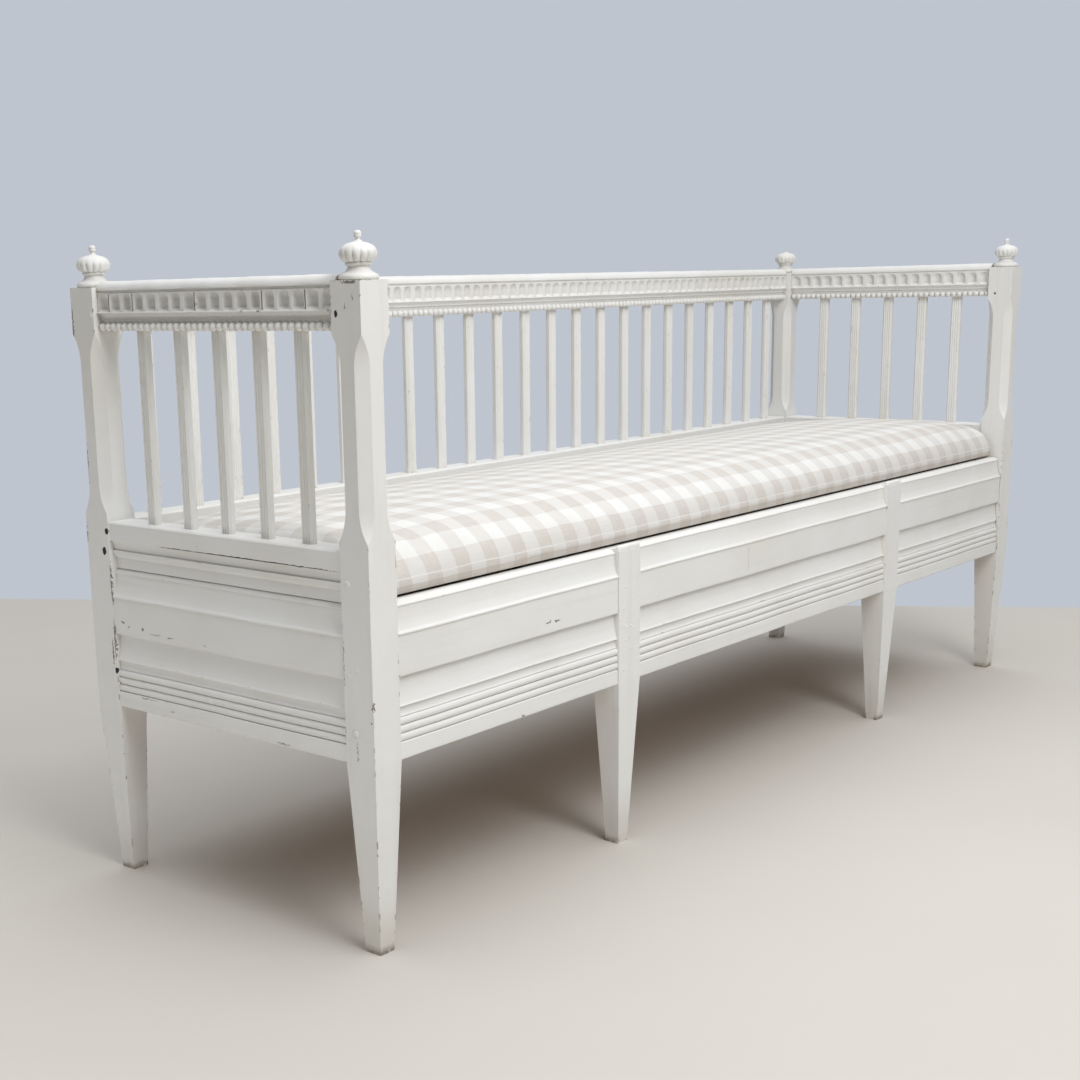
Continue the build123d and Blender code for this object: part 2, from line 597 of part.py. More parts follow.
def build_spindles():
    plane = Plane.XY.offset(SEAT_RAIL_TOP)
    end_step = (2 * INNER_Y - 2 * END_SPINDLE_INSET) / (END_SPINDLE_COUNT - 1)
    for side, side_name in ((-1, "left"), (1, "right")):
        for index in range(END_SPINDLE_COUNT):
            y = -INNER_Y + END_SPINDLE_INSET + index * end_step
            make_spindles(f"{side_name}_spindle_{index + 1}", plane, [(side * POST_X, y)], False)
    back_step = (2 * INNER_X - 2 * BACK_SPINDLE_INSET) / (BACK_SPINDLE_COUNT - 1)
    first = -INNER_X + BACK_SPINDLE_INSET
    spots = [(first + index * back_step, POST_Y) for index in range(BACK_SPINDLE_COUNT)]
    make_spindles("back_spindles", plane, spots, True)


def build_box():
    """Runners, ledgers and fixed slats inside the frame."""
    for side, side_name in ((-1, "left"), (1, "right")):
        outer = side * APRON_REAR_X
        inner = outer - side * RUNNER_WIDTH
        left, right = sorted((outer, inner))
        block(f"{side_name}_runner", (left, -INNER_Y, APRON_BOTTOM), (right, INNER_Y, RUNNER_TOP))
        left, right = sorted((outer, outer - side * LEDGER_DEPTH))
        block(f"{side_name}_seat_ledger", (left, -INNER_Y, LEDGER_BOTTOM), (right, INNER_Y, LEDGER_TOP))
        left, right = sorted((inner, inner - side * STOP_WIDTH))
        block(f"{side_name}_travel_stop", (left, STOP_FRONT, APRON_BOTTOM), (right, STOP_BACK, RUNNER_TOP))
    ledger_end = APRON_REAR_X - LEDGER_DEPTH
    low = (-ledger_end, LEDGER_FRONT, LEDGER_BOTTOM)
    block("back_seat_ledger", low, (ledger_end, APRON_REAR_Y, LEDGER_TOP))
    rail_end = APRON_REAR_X - RUNNER_WIDTH
    low = (-rail_end, BACK_RAIL_FRONT, APRON_BOTTOM)
    block("back_slat_rail", low, (rail_end, APRON_REAR_Y, SLAT_RAIL_TOP + SLIDE_GAP))
    make_slats("fixed_slats", slat_middles()[1::2], STOP_FRONT, APRON_REAR_Y, SLAT_RAIL_TOP + SLIDE_GAP)


def build_pull_out():
    leg_x = STILE_SPACING / 2
    inner = leg_x - STILE_WIDTH / 2
    outer = leg_x + STILE_WIDTH / 2
    edge = INNER_X - TRAVEL_GAP
    make_front_board("front_left_apron", -edge, -outer, False, True)
    make_front_board("front_middle_apron", -inner, inner, True, True)
    make_front_board("front_right_apron", outer, edge, True, False)
    make_middle_leg("left_middle_leg", -leg_x)
    make_middle_leg("right_middle_leg", leg_x)
    for side, side_name in ((-1, "left"), (1, "right")):
        left, right = sorted((side * SIDE_OUTER, side * SIDE_INNER))
        low = (left, -APRON_REAR_Y, RUNNER_TOP + SLIDE_GAP)
        block(f"{side_name}_drawer_side", low, (right, TAIL_BACK, LEDGER_BOTTOM - SIDE_GAP))
    low = (-SIDE_INNER, -APRON_REAR_Y, APRON_BOTTOM)
    block("front_slat_rail", low, (SIDE_INNER, FRONT_RAIL_BACK, SLAT_RAIL_TOP))
    low = (-SIDE_INNER, TAIL_FRONT, APRON_BOTTOM)
    block("tail_rail", low, (SIDE_INNER, TAIL_BACK, SLAT_RAIL_TOP))
    make_slats("sliding_slats", slat_middles()[::2], -APRON_REAR_Y, TAIL_BACK, SLAT_RAIL_TOP)


def build_seat():
    front = -HALF_DEPTH + SEAT_SETBACK
    batten_front = front + BATTEN_SETBACK
    batten_back = LEDGER_FRONT - BATTEN_CLEARANCE
    block("seat_board", (-SEAT_END, front, LEDGER_TOP), (SEAT_END, SEAT_BACK, SEAT_BOARD_TOP))
    for index, side_name in ((-1, "left"), (0, "middle"), (1, "right")):
        x = index * (SEAT_END - BATTEN_INSET)
        low = (x - BATTEN_WIDTH / 2, batten_front, LEDGER_BOTTOM)
        block(f"{side_name}_batten", low, (x + BATTEN_WIDTH / 2, batten_back, LEDGER_TOP))
    make_pad()


os.makedirs("parts", exist_ok=True)
build_posts()
build_rails()
build_spindles()
build_box()
build_pull_out()
build_seat()
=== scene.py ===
"""Looks of the Gustavian pull-out bench bed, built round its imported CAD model.

Metres, in the part's own frame: the origin is on the floor, -Y is the front, +Z is up.
"""

import math
import random

import bmesh
import bpy
import numpy as np
from mathutils import Matrix, Vector


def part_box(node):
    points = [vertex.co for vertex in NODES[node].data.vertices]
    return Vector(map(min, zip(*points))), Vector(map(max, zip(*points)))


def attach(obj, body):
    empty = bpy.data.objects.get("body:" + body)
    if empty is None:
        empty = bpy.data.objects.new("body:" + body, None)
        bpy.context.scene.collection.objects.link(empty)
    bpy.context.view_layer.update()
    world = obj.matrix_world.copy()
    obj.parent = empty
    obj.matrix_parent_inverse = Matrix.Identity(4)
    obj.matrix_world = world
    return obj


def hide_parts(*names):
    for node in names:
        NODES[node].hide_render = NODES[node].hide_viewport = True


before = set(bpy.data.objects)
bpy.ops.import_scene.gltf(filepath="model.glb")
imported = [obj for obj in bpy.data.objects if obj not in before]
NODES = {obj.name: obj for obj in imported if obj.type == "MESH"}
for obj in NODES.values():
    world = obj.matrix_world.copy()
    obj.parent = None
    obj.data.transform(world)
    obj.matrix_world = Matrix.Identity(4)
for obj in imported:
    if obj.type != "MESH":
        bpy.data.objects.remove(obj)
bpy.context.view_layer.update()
random.seed(7)

# ------------------------------------------------------------------ sizes shared with the part
HALF_LENGTH = 0.975
HALF_DEPTH = 0.2735
POST_SIZE = 0.048
POST_HEIGHT = 0.835
POST_X = HALF_LENGTH - POST_SIZE / 2
POST_Y = HALF_DEPTH - POST_SIZE / 2
INNER_X = HALF_LENGTH - POST_SIZE
INNER_Y = HALF_DEPTH - POST_SIZE
UP = Vector((0, 0, 1))
ALONG_X = Vector((1, 0, 0))
ALONG_Y = Vector((0, 1, 0))
TOP_RAIL_BOTTOM = 0.777
APRON_TOP = 0.451

# ------------------------------------------------------------------ material helpers


def rgb(red, green, blue):
    """An sRGB colour, 0 to 255, as Blender's linear RGBA."""
    def channel(value):
        value /= 255
        return value / 12.92 if value <= 0.04045 else ((value + 0.055) / 1.055) ** 2.4
    return (channel(red), channel(green), channel(blue), 1.0)


class Nodes:
    """Short calls for building one node tree."""

    def __init__(self, tree):
        self.tree = tree

    def feed(self, socket, value):
        if isinstance(value, bpy.types.NodeSocket):
            self.tree.links.new(value, socket)
        else:
            socket.default_value = value

    def put(self, kind, inputs, **settings):
        node = self.tree.nodes.new(kind)
        for key, value in settings.items():
            setattr(node, key, value)
        for key, value in inputs.items():
            self.feed(node.inputs[key], value)
        return node

    def math(self, operation, first, second=0.0, clamp=False):
        inputs = {0: first, 1: second}
        return self.put("ShaderNodeMath", inputs, operation=operation, use_clamp=clamp).outputs[0]

    def ramp(self, value, low, high, out_low=0.0, out_high=1.0, curve="SMOOTHSTEP"):
        """Step of value from low to high, smooth unless another curve is named."""
        inputs = {"Value": value, "From Min": low, "From Max": high}
        inputs |= {"To Min": out_low, "To Max": out_high}
        return self.put("ShaderNodeMapRange", inputs, interpolation_type=curve).outputs[0]

    def split(self, vector):
        return self.put("ShaderNodeSeparateXYZ", {0: vector}).outputs


class Mat(Nodes):
    """One node material, with what its looks are made of."""

    def __init__(self, name):
        self.material = bpy.data.materials.new(name)
        self.material.use_nodes = True
        super().__init__(self.material.node_tree)
        self.shader = self.tree.nodes["Principled BSDF"]
        self.place = self.put("ShaderNodeTexCoord", {}).outputs["Object"]

    def vector(self, operation, first, second):
        return self.put("ShaderNodeVectorMath", {0: first, 1: second}, operation=operation).outputs[0]

    def mix(self, share, first, second):
        return self.put("ShaderNodeMix", {0: share, 6: first, 7: second}, data_type="RGBA").outputs[2]

    def tint(self, mask, strength, under, over):
        """Lays a colour over another where the mask is, no stronger than this."""
        return self.mix(self.math("MULTIPLY", mask, strength), under, over)

    def stretch(self, scale, vector=None):
        return self.put("ShaderNodeMapping", {"Vector": vector or self.place, "Scale": scale}).outputs[0]

    def noise(self, vector, scale=1.0, detail=4.0, roughness=0.55, distortion=0.0):
        inputs = {"Vector": vector, "Scale": scale, "Detail": detail, "Roughness": roughness}
        inputs["Distortion"] = distortion
        return self.put("ShaderNodeTexNoise", inputs).outputs["Fac"]

    def drift(self, vector, scale, detail, amount):
        """The vector shifted by noise, by up to half this amount each way."""
        inputs = {"Vector": vector, "Scale": scale, "Detail": detail}
        colour = self.put("ShaderNodeTexNoise", inputs).outputs["Color"]
        inputs = {0: self.vector("SUBTRACT", colour, (0.5, 0.5, 0.5)), "Scale": amount}
        small = self.put("ShaderNodeVectorMath", inputs, operation="SCALE").outputs[0]
        return self.vector("ADD", vector, small)

    def occlusion(self, distance, inside=False):
        """0 where the surface is open, 1 in a corner; with inside, 1 on a convex edge."""
        node = self.put("ShaderNodeAmbientOcclusion", {"Distance": distance}, samples=6, inside=inside)
        return self.math("SUBTRACT", 1.0, node.outputs["AO"])

    def bump(self, height, strength, distance):
        inputs = {"Height": height, "Strength": strength, "Distance": distance}
        self.feed(self.shader.inputs["Normal"], self.put("ShaderNodeBump", inputs).outputs[0])

    def spots(self, points, wobble):
        """1 inside the listed ragged marks (x, y, z, then their half-widths)."""
        place = self.drift(self.place, 300.0, 3.0, wobble)
        total = None
        for x, y, z, wide, deep, tall in points:
            share = self.vector("DIVIDE", self.vector("SUBTRACT", place, (x, y, z)), (wide, deep, tall))
            reach = self.put("ShaderNodeVectorMath", {0: share}, operation="LENGTH").outputs["Value"]
            spot = self.ramp(reach, 1.12, 0.85)
            total = spot if total is None else self.math("MAXIMUM", total, spot)
        return total


PAINT = rgb(240, 240, 238)
PAINT_WARM = rgb(233, 230, 222)
PAINT_GREY = rgb(226, 226, 222)
# grime at the feet, and grime with painted shade in corners
GRIME_AND_SHADE = rgb(178, 165, 143)
BARE = rgb(136, 116, 90)
DARK = rgb(46, 39, 33)
HOLLOW_SHADE = rgb(160, 154, 144)
# near-black of holes and cracks, and of a painted shadow line
PIT_AND_SHADOW = rgb(30, 26, 23)
ALONG = {"x": (1.6, 55, 55), "y": (55, 1.6, 55), "z": (55, 55, 1.6)}


def painted(name, axis, edge_wear=0.5, feet=False, carving_shade=0.0, spots=(), pits_and_shadow_lines=()):
    """Old off-white paint on pine, brushed and grained along this axis, grimy in its corners
    and rubbed through on its edges. Painted shade lies in its corners and tight creases, less
    on faces turned up, and in the hollows of carving as far as asked; joints are dark. With no
    edge wear it is whole. Spots are places where the paint is gone, holes and cracks are dark
    pits, and a painted shadow line is drawn the same way."""
    m = Mat(name)
    grain = m.noise(m.stretch(ALONG[axis]), 1.0, 6, 0.62)
    fine = m.noise(m.stretch([4 * value for value in ALONG[axis]]), 1.0, 3, 0.6)
    cloud = m.noise(m.place, 5.0, 5, 0.6)
    patch = m.noise(m.place, 26.0, 6, 0.68)
    speck = m.noise(m.place, 240.0, 3, 0.6)

    colour = m.tint(m.ramp(cloud, 0.42, 0.7), 0.55, PAINT, PAINT_WARM)
    colour = m.tint(m.ramp(grain, 0.5, 0.72), 0.5, colour, PAINT_GREY)
    colour = m.tint(m.ramp(patch, 0.6, 0.74), 0.3, colour, PAINT_WARM)

    # grime and painted shade in corners: darker where occlusion is high, patchy, and kept off faces turned
    # up as if lit from above
    corner = m.occlusion(0.016)
    dirt_and_shade = m.math("MULTIPLY", m.ramp(corner, 0.2, 0.85), m.ramp(patch, 0.2, 0.7, 0.45, 1.0))
    normal = m.put("ShaderNodeNewGeometry", {}).outputs["Normal"]
    rise = m.split(normal)["Z"]
    shaded_side = m.ramp(rise, 0.75, 0.25)
    colour = m.tint(m.math("MULTIPLY", dirt_and_shade, shaded_side), 0.55, colour, GRIME_AND_SHADE)
    # painted shade in the hollows of carving, on faces not turned up
    if carving_shade:
        carved_shade_share = m.math("MULTIPLY", shaded_side, carving_shade)
        colour = m.tint(m.ramp(corner, 0.05, 0.42), carved_shade_share, colour, HOLLOW_SHADE)
    # dark joints, and painted shade in tight creases, stronger on faces not turned up
    joint_and_crease_shade = m.ramp(m.occlusion(0.003), 0.6, 0.92)
    colour = m.tint(joint_and_crease_shade, m.ramp(rise, 0.75, 0.25, 0.3, 0.7), colour, DARK)

    pits = m.ramp(m.noise(m.place, 95.0, 4, 0.7), 0.735, 0.76)
    chips = m.math("MULTIPLY", pits, m.ramp(cloud, 0.48, 0.6))
    if edge_wear:
        edge = m.ramp(m.occlusion(0.003, inside=True), 0.2, 0.42)
        broken = m.noise(m.place, 70.0, 5, 0.7)
        worn = m.ramp(broken, 0.64 - 0.09 * edge_wear, 0.66 - 0.08 * edge_wear)
        worn = m.math("MULTIPLY", worn, m.ramp(cloud, 0.42, 0.55))
        chips = m.math("MAXIMUM", chips, m.math("MULTIPLY", edge, worn))
    if feet:
        height = m.split(m.place)["Z"]
        low = m.ramp(m.math("ADD", height, m.math("MULTIPLY", patch, 0.04)), 0.034, 0.018)
        chips = m.math("MAXIMUM", chips, m.math("MULTIPLY", low, m.ramp(patch, 0.4, 0.5)))
        colour = m.tint(m.ramp(height, 0.1, 0.0), 0.3, colour, GRIME_AND_SHADE)
    if spots:
        chips = m.math("MAXIMUM", chips, m.spots(spots, 0.009))
    bare = m.mix(m.ramp(fine, 0.35, 0.65), BARE, DARK)
    colour = m.tint(chips, 0.85, colour, bare)
    # holes and cracks as near-black pits; the same marks draw a painted shadow line under the left seat
    # rail
    if pits_and_shadow_lines:
        pit_and_shadow_mask = m.spots(pits_and_shadow_lines, 0.004)
        colour = m.mix(pit_and_shadow_mask, colour, PIT_AND_SHADOW)
        chips = m.math("MAXIMUM", chips, pit_and_shadow_mask)

    height = m.math("ADD", m.math("MULTIPLY", grain, 0.5), m.math("MULTIPLY", fine, 0.25))
    height = m.math("ADD", height, m.math("MULTIPLY", speck, 0.12))
    height = m.math("ADD", height, m.math("MULTIPLY", patch, 0.5))
    height = m.math("SUBTRACT", height, m.math("MULTIPLY", chips, 0.8))
    m.feed(m.shader.inputs["Base Color"], colour)
    m.bump(height, 0.4, 0.0007)
    rough = m.math("ADD", m.math("MULTIPLY", patch, 0.25), m.math("MULTIPLY", chips, 0.25))
    m.feed(m.shader.inputs["Roughness"], m.math("ADD", rough, 0.36, clamp=True))
    return m.material


def raw_pine(name, axis):
    """Bare, aged pine with rings, running along this axis."""
    m = Mat(name)
    flow = m.stretch([0.35 * value for value in ALONG[axis]])
    rings = m.noise(flow, 1.0, 5, 0.6, 0.8)
    fine = m.noise(m.stretch([5 * value for value in ALONG[axis]]), 1.0, 3, 0.6)
    cloud = m.noise(m.place, 7.0, 4, 0.6)
    colour = m.mix(m.ramp(rings, 0.35, 0.68), rgb(196, 160, 112), rgb(150, 110, 70))
    colour = m.tint(m.ramp(fine, 0.5, 0.7), 0.5, colour, rgb(128, 92, 58))
    colour = m.tint(m.ramp(cloud, 0.45, 0.7), 0.4, colour, rgb(122, 98, 72))
    # painted shade: darker in corners and between parts
    colour = m.tint(m.ramp(m.occlusion(0.01), 0.3, 0.9), 0.5, colour, DARK)
    m.feed(m.shader.inputs["Base Color"], colour)
    m.feed(m.shader.inputs["Roughness"], m.ramp(fine, 0.3, 0.7, 0.62, 0.8))
    height = m.math("ADD", m.math("MULTIPLY", rings, 0.4), m.math("MULTIPLY", fine, 0.5))
    m.bump(height, 0.4, 0.0008)
    return m.material


CHECK = 0.0292              # one gingham square
CHECK_START = 0.0303        # where the first check begins along the seat
SEAM = 0.2600               # along the cloth: the strip below it starts the checks again
THREAD = 0.0011


def gingham(name):
    """Linen gingham in white, light beige and taupe, woven of slubby threads, with a painted
    highlight along the crease at the seam and painted shade below it. The cloth's own length
    and width at each point are in the mesh attribute "weave"."""
    m = Mat(name)
    weave = m.put("ShaderNodeAttribute", {}, attribute_name="weave").outputs["Vector"]
    axes = m.split(m.drift(weave, 22.0, 2.0, 0.004))
    true_axes = m.split(weave)

    def stripe(value, phase):
        turn = m.math("SINE", m.math("MULTIPLY", m.math("ADD", value, phase), math.pi / CHECK))
        return m.ramp(turn, -0.06, 0.06)

    def threads(value):
        turn = m.math("SINE", m.math("MULTIPLY", value, 2 * math.pi / THREAD))
        return m.ramp(turn, -1.0, 1.0)

    below = m.math("LESS_THAN", axes["Y"], SEAM)
    turned = m.math("ADD", axes["Y"], m.math("MULTIPLY", below, CHECK))
    down, across = stripe(axes["X"], CHECK_START), stripe(turned, -SEAM)
    slub_x = m.noise(m.stretch((30, 900, 1), weave), 1.0, 3, 0.7)
    slub_y = m.noise(m.stretch((900, 30, 1), weave), 1.0, 3, 0.7)
    white, taupe = rgb(234, 234, 232), rgb(206, 199, 192)
    first = m.math("MULTIPLY", across, m.ramp(slub_x, 0.3, 0.7, 0.6, 1.05))
    second = m.math("MULTIPLY", down, m.ramp(slub_y, 0.3, 0.7, 0.6, 1.05))
    colour = m.tint(m.math("ADD", first, second), 0.5, white, taupe)
    slubs = m.math("MAXIMUM", m.ramp(slub_x, 0.62, 0.75), m.ramp(slub_y, 0.62, 0.75))
    colour = m.tint(slubs, 0.28, colour, rgb(186, 177, 163))
    # painted highlight: a light line along the crease at the seam
    off = m.math("ABSOLUTE", m.math("SUBTRACT", axes["Y"], SEAM))
    colour = m.tint(m.ramp(off, 0.0014, 0.0005), 0.75, colour, white)
    # painted shade on the cloth below the crease, where the roll turns under
    colour = m.tint(m.ramp(axes["Y"], SEAM - 0.009, SEAM - 0.013), 0.35, colour, rgb(176, 163, 146))
    cloud = m.noise(m.place, 9.0, 4, 0.6)
    colour = m.tint(m.ramp(cloud, 0.45, 0.75), 0.1, colour, rgb(170, 158, 138))
    m.feed(m.shader.inputs["Base Color"], colour)
    m.shader.inputs["Roughness"].default_value = 0.9
    m.shader.inputs["Specular IOR Level"].default_value = 0.25
    m.shader.inputs["Sheen Weight"].default_value = 0.15
    m.shader.inputs["Sheen Roughness"].default_value = 0.6
    cross = m.math("MULTIPLY", threads(true_axes["X"]), threads(true_axes["Y"]))
    height = m.math("ADD", m.math("MULTIPLY", cross, 0.4), m.math("ADD", slub_x, slub_y))
    m.bump(height, 0.3, 0.0005)
    return m.material


# ------------------------------------------------------------------ materials on the CAD nodes
CHIPS_FRONT = (             # (x, y, z), then half-widths
    (-0.6215, -0.2715, 0.3738, 0.0066, 0.003, 0.0012),
    (-0.6012, -0.2715, 0.3724, 0.0066, 0.003, 0.0014),
    (-0.5200, -0.2735, 0.4505, 0.0022, 0.006, 0.0015),
    (-0.4400, -0.2735, 0.4505, 0.0016, 0.006, 0.0015),
    (-0.6800, -0.2715, 0.2540, 0.0035, 0.003, 0.0014),
)
SEAM_FRONT = (              # a crack in the middle board, and the joint by the left stile
    (-0.0894, -0.2715, 0.3840, 0.0002, 0.004, 0.0230),
    (-0.4482, -0.2700, 0.3560, 0.0010, 0.006, 0.0050),
    (-0.4484, -0.2700, 0.3400, 0.0008, 0.006, 0.0040),
    (-0.4482, -0.2700, 0.3100, 0.0009, 0.006, 0.0030),
    (-0.4482, -0.2700, 0.2760, 0.0009, 0.006, 0.0040),
)
CHIPS_LEFT = (
    (-0.973, 0.2078, 0.3768, 0.004, 0.0042, 0.0016),
    (-0.973, 0.1960, 0.3706, 0.004, 0.0026, 0.0010),
    (-0.973, 0.1640, 0.3712, 0.004, 0.0022, 0.0022),
    (-0.973, 0.1380, 0.3672, 0.004, 0.0130, 0.0006),
    (-0.973, 0.1060, 0.3662, 0.004, 0.0060, 0.0007),
    (-0.973, 0.0352, 0.3657, 0.004, 0.0040, 0.0006),
    (-0.973, 0.1950, 0.3560, 0.004, 0.0160, 0.0005),
    (-0.973, 0.0665, 0.3552, 0.004, 0.0018, 0.0018),
    (-0.973, 0.1600, 0.2720, 0.004, 0.0200, 0.0005),
    (-0.973, 0.1100, 0.2625, 0.004, 0.0042, 0.0009),
    (-0.973, -0.1100, 0.2550, 0.004, 0.0120, 0.0008),
)
SHADOW_UNDER_LEFT_SEAT_RAIL = (                # painted shadow line along the joint under the left seat rail
    (-0.973, -0.060, 0.4912, 0.006, 0.110, 0.0012),
    (-0.973, 0.060, 0.4912, 0.006, 0.060, 0.0008),
    (-0.973, -0.170, 0.4912, 0.006, 0.050, 0.0007),
)
CHIPS_POST = (
    (-0.975, 0.2730, 0.690, 0.005, 0.0045, 0.0600),
    (-0.970, 0.2650, 0.600, 0.012, 0.0060, 0.0500),
    (-0.970, 0.2730, 0.500, 0.006, 0.0020, 0.0250),
    (-0.975, 0.2720, 0.780, 0.003, 0.0016, 0.0300),
    (-0.975, 0.2262, 0.430, 0.003, 0.0010, 0.0350),
    (-0.975, 0.2262, 0.350, 0.003, 0.0014, 0.0300),
    (-0.975, 0.2320, 0.330, 0.003, 0.0014, 0.0200),
    (-0.975, -0.2260, 0.380, 0.003, 0.0006, 0.0300),
    (-0.975, -0.2450, 0.270, 0.003, 0.0006, 0.0140),
    (-0.974, -0.2730, 0.330, 0.002, 0.0015, 0.0060),
    (-0.972, -0.2725, 0.600, 0.004, 0.0020, 0.0100),
    (-0.975, -0.2610, 0.815, 0.003, 0.0006, 0.0050),
    (-0.975, -0.2480, 0.805, 0.003, 0.0005, 0.0040),
    (-0.975, -0.2550, 0.8325, 0.004, 0.0120, 0.0012),
)
HOLES_POST = (
    (-0.975, -0.2335, 0.7972, 0.003, 0.0027, 0.0044),
    (-0.975, -0.2370, 0.4752, 0.003, 0.0020, 0.0024),
    (-0.975, -0.2700, 0.3096, 0.003, 0.0012, 0.0012),
    (-0.975, 0.2290, 0.5033, 0.003, 0.0038, 0.0042),
    (-0.975, 0.2366, 0.4753, 0.003, 0.0040, 0.0060),
    (-0.975, 0.2270, 0.3047, 0.003, 0.0036, 0.0046),
    (0.927, -0.2399, 0.7827, 0.003, 0.0018, 0.0022),
)
PAINT_X = painted("painted_pine_x", "x", 0.2)
PAINT_Y = painted("painted_pine_y", "y", 0.2, spots=CHIPS_LEFT, pits_and_shadow_lines=SHADOW_UNDER_LEFT_SEAT_RAIL)
PAINT_Z = painted("painted_pine_z", "z", 0.6)
PAINT_LEG = painted("painted_pine_leg", "z", 1.0, feet=True, spots=CHIPS_POST, pits_and_shadow_lines=HOLES_POST)
PAINT_STILE = painted("painted_pine_stile", "z", 0.3, feet=True)
# the carving numbers set how much painted shade lies in the flutes; the left rail gets the most
PAINT_RAIL_X = painted("painted_pine_rail_x", "x", 0.5, carving_shade=0.3)
PAINT_RAIL_Y = painted("painted_pine_rail_y", "y", 0.5, carving_shade=0.25)
PAINT_RAIL_LEFT = painted("painted_pine_rail_left", "y", 0.7, carving_shade=0.7)
PAINT_WHOLE = painted("painted_pine_whole", "z", 0)
PAINT_FRONT = painted("painted_pine_front", "x", 0.2, spots=CHIPS_FRONT, pits_and_shadow_lines=SEAM_FRONT)
PAINT_FINIAL = painted("painted_pine_finial", "z", 1.0)
RAW_X = raw_pine("bare_pine_x", "x")
RAW_Y = raw_pine("bare_pine_y", "y")
GINGHAM = gingham("gingham_linen")


def finish_of(name):
    """The material of a CAD node, by its name."""
    if name.endswith("_post"):
        return PAINT_LEG
    if name.endswith("_middle_leg"):
        return PAINT_STILE
    if name.endswith("_finial") or "spindle" in name:
        return PAINT_Z
    if name == "back_top_rail":
        return PAINT_RAIL_X
    if name.endswith("_top_rail"):
        return PAINT_RAIL_Y
    if name.startswith("front_") and name.endswith("_apron"):
        return PAINT_FRONT
    if name in ("back_apron", "back_seat_rail"):
        return PAINT_X
    if name.endswith(("_apron", "_seat_rail", "_crown_moulding")):
        return PAINT_Y
    if name.endswith(("_slats", "_runner", "_drawer_side", "_travel_stop", "_batten")):
        return RAW_Y
    return RAW_Y if name in ("left_seat_ledger", "right_seat_ledger") else RAW_X


for node_name, node in NODES.items():
    if node_name != "seat_pad":
        node.data.materials.clear()
        node.data.materials.append(finish_of(node_name))


# ------------------------------------------------------------------ mesh helpers
def add_object(name, data):
    obj = bpy.data.objects.new(name, data)
    bpy.context.scene.collection.objects.link(obj)
    return obj


def mesh_of(name, points, faces):
    mesh = bpy.data.meshes.new(name)
    mesh.from_pydata([tuple(point) for point in points], [], faces)
    mesh.update()
    return mesh


def face_out(mesh, weld=0.0):
    """Welds close points where asked and turns every face outward."""
    grid = bmesh.new()
    grid.from_mesh(mesh)
    if weld:
        bmesh.ops.remove_doubles(grid, verts=grid.verts, dist=weld)
    bmesh.ops.recalc_face_normals(grid, faces=grid.faces)
    grid.to_mesh(mesh)
    grid.free()


def dress(obj, material, body):
    """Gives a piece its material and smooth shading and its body."""
    obj.data.materials.append(material)
    for face in obj.data.polygons:
        face.use_smooth = True
    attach(obj, body)


def piece(name, points, faces, material, body, crease=None, weld=0.0):
    """A painted piece on this body; edges that turn by more than the crease angle stay sharp."""
    mesh = mesh_of(name, points, faces)
    face_out(mesh, weld)
    obj = add_object(name, mesh)
    dress(obj, material, body)
    if crease:
        mesh.set_sharp_from_angle(angle=math.radians(crease))
    return obj


def tube_faces(start, size, rings, turned=False):
    """Faces between rings of so many points each, the first ring starting at this point."""
    faces = []
    for ring in range(rings - 1):
        low, high = start + ring * size, start + (ring + 1) * size
        for index in range(size):
            after = (index + 1) % size
            if turned:
                faces.append((low + index, high + index, high + after, low + after))
            else:
                faces.append((low + index, low + after, high + after, high + index))
    return faces


def cap_faces(start, size, rings):
    """The two faces that close such a tube."""
    last = start + (rings - 1) * size
    return [tuple(range(start, start + size)), tuple(range(last, last + size))]


def fan_faces(start, size):
    """Triangles from the point at start to the ring of points that follows it."""
    return [(start, start + 1 + turn, start + 1 + (turn + 1) % size) for turn in range(size)]


# ------------------------------------------------------------------ pearl strings on the rails
PEARL_RADIUS = 0.0058
PEARL_TURNS = 14
PEARL_RINGS = 7
PEARL_COVER = 0.62          # share of a half turn that a pearl's surface covers from its tip
PEARL_FLAT = 0.93
END_PEARLS = 38
BACK_PEARLS = 146


def pearl(points, faces, centre, outward, along, squeeze):
    """Adds one turned pearl, slightly flattened along the string."""
    start = len(points)
    points.append(centre + outward * PEARL_RADIUS)
    for ring in range(1, PEARL_RINGS + 1):
        polar = math.pi * PEARL_COVER * ring / PEARL_RINGS
        for turn in range(PEARL_TURNS):
            angle = 2 * math.pi * turn / PEARL_TURNS
            side = along * math.cos(angle) * squeeze + UP * math.sin(angle) * PEARL_FLAT
            points.append(centre + (outward * math.cos(polar) + side * math.sin(polar)) * PEARL_RADIUS)
    faces += fan_faces(start, PEARL_TURNS)
    faces += tube_faces(start + 1, PEARL_TURNS, PEARL_RINGS, turned=True)


def pearl_string(name, begin, finish, count, outward):
    """A row of pearls between two points along the lower edge of a rail."""
    along = (finish - begin).normalized()
    points, faces = [], []
    for index in range(count):
        shift = random.uniform(-0.0003, 0.0003)
        centre = begin.lerp(finish, (index + 0.5) / count) + along * shift
        pearl(points, faces, centre, outward, along, random.uniform(0.88, 0.97))
    piece(name, points, faces, PAINT_WHOLE, "frame")


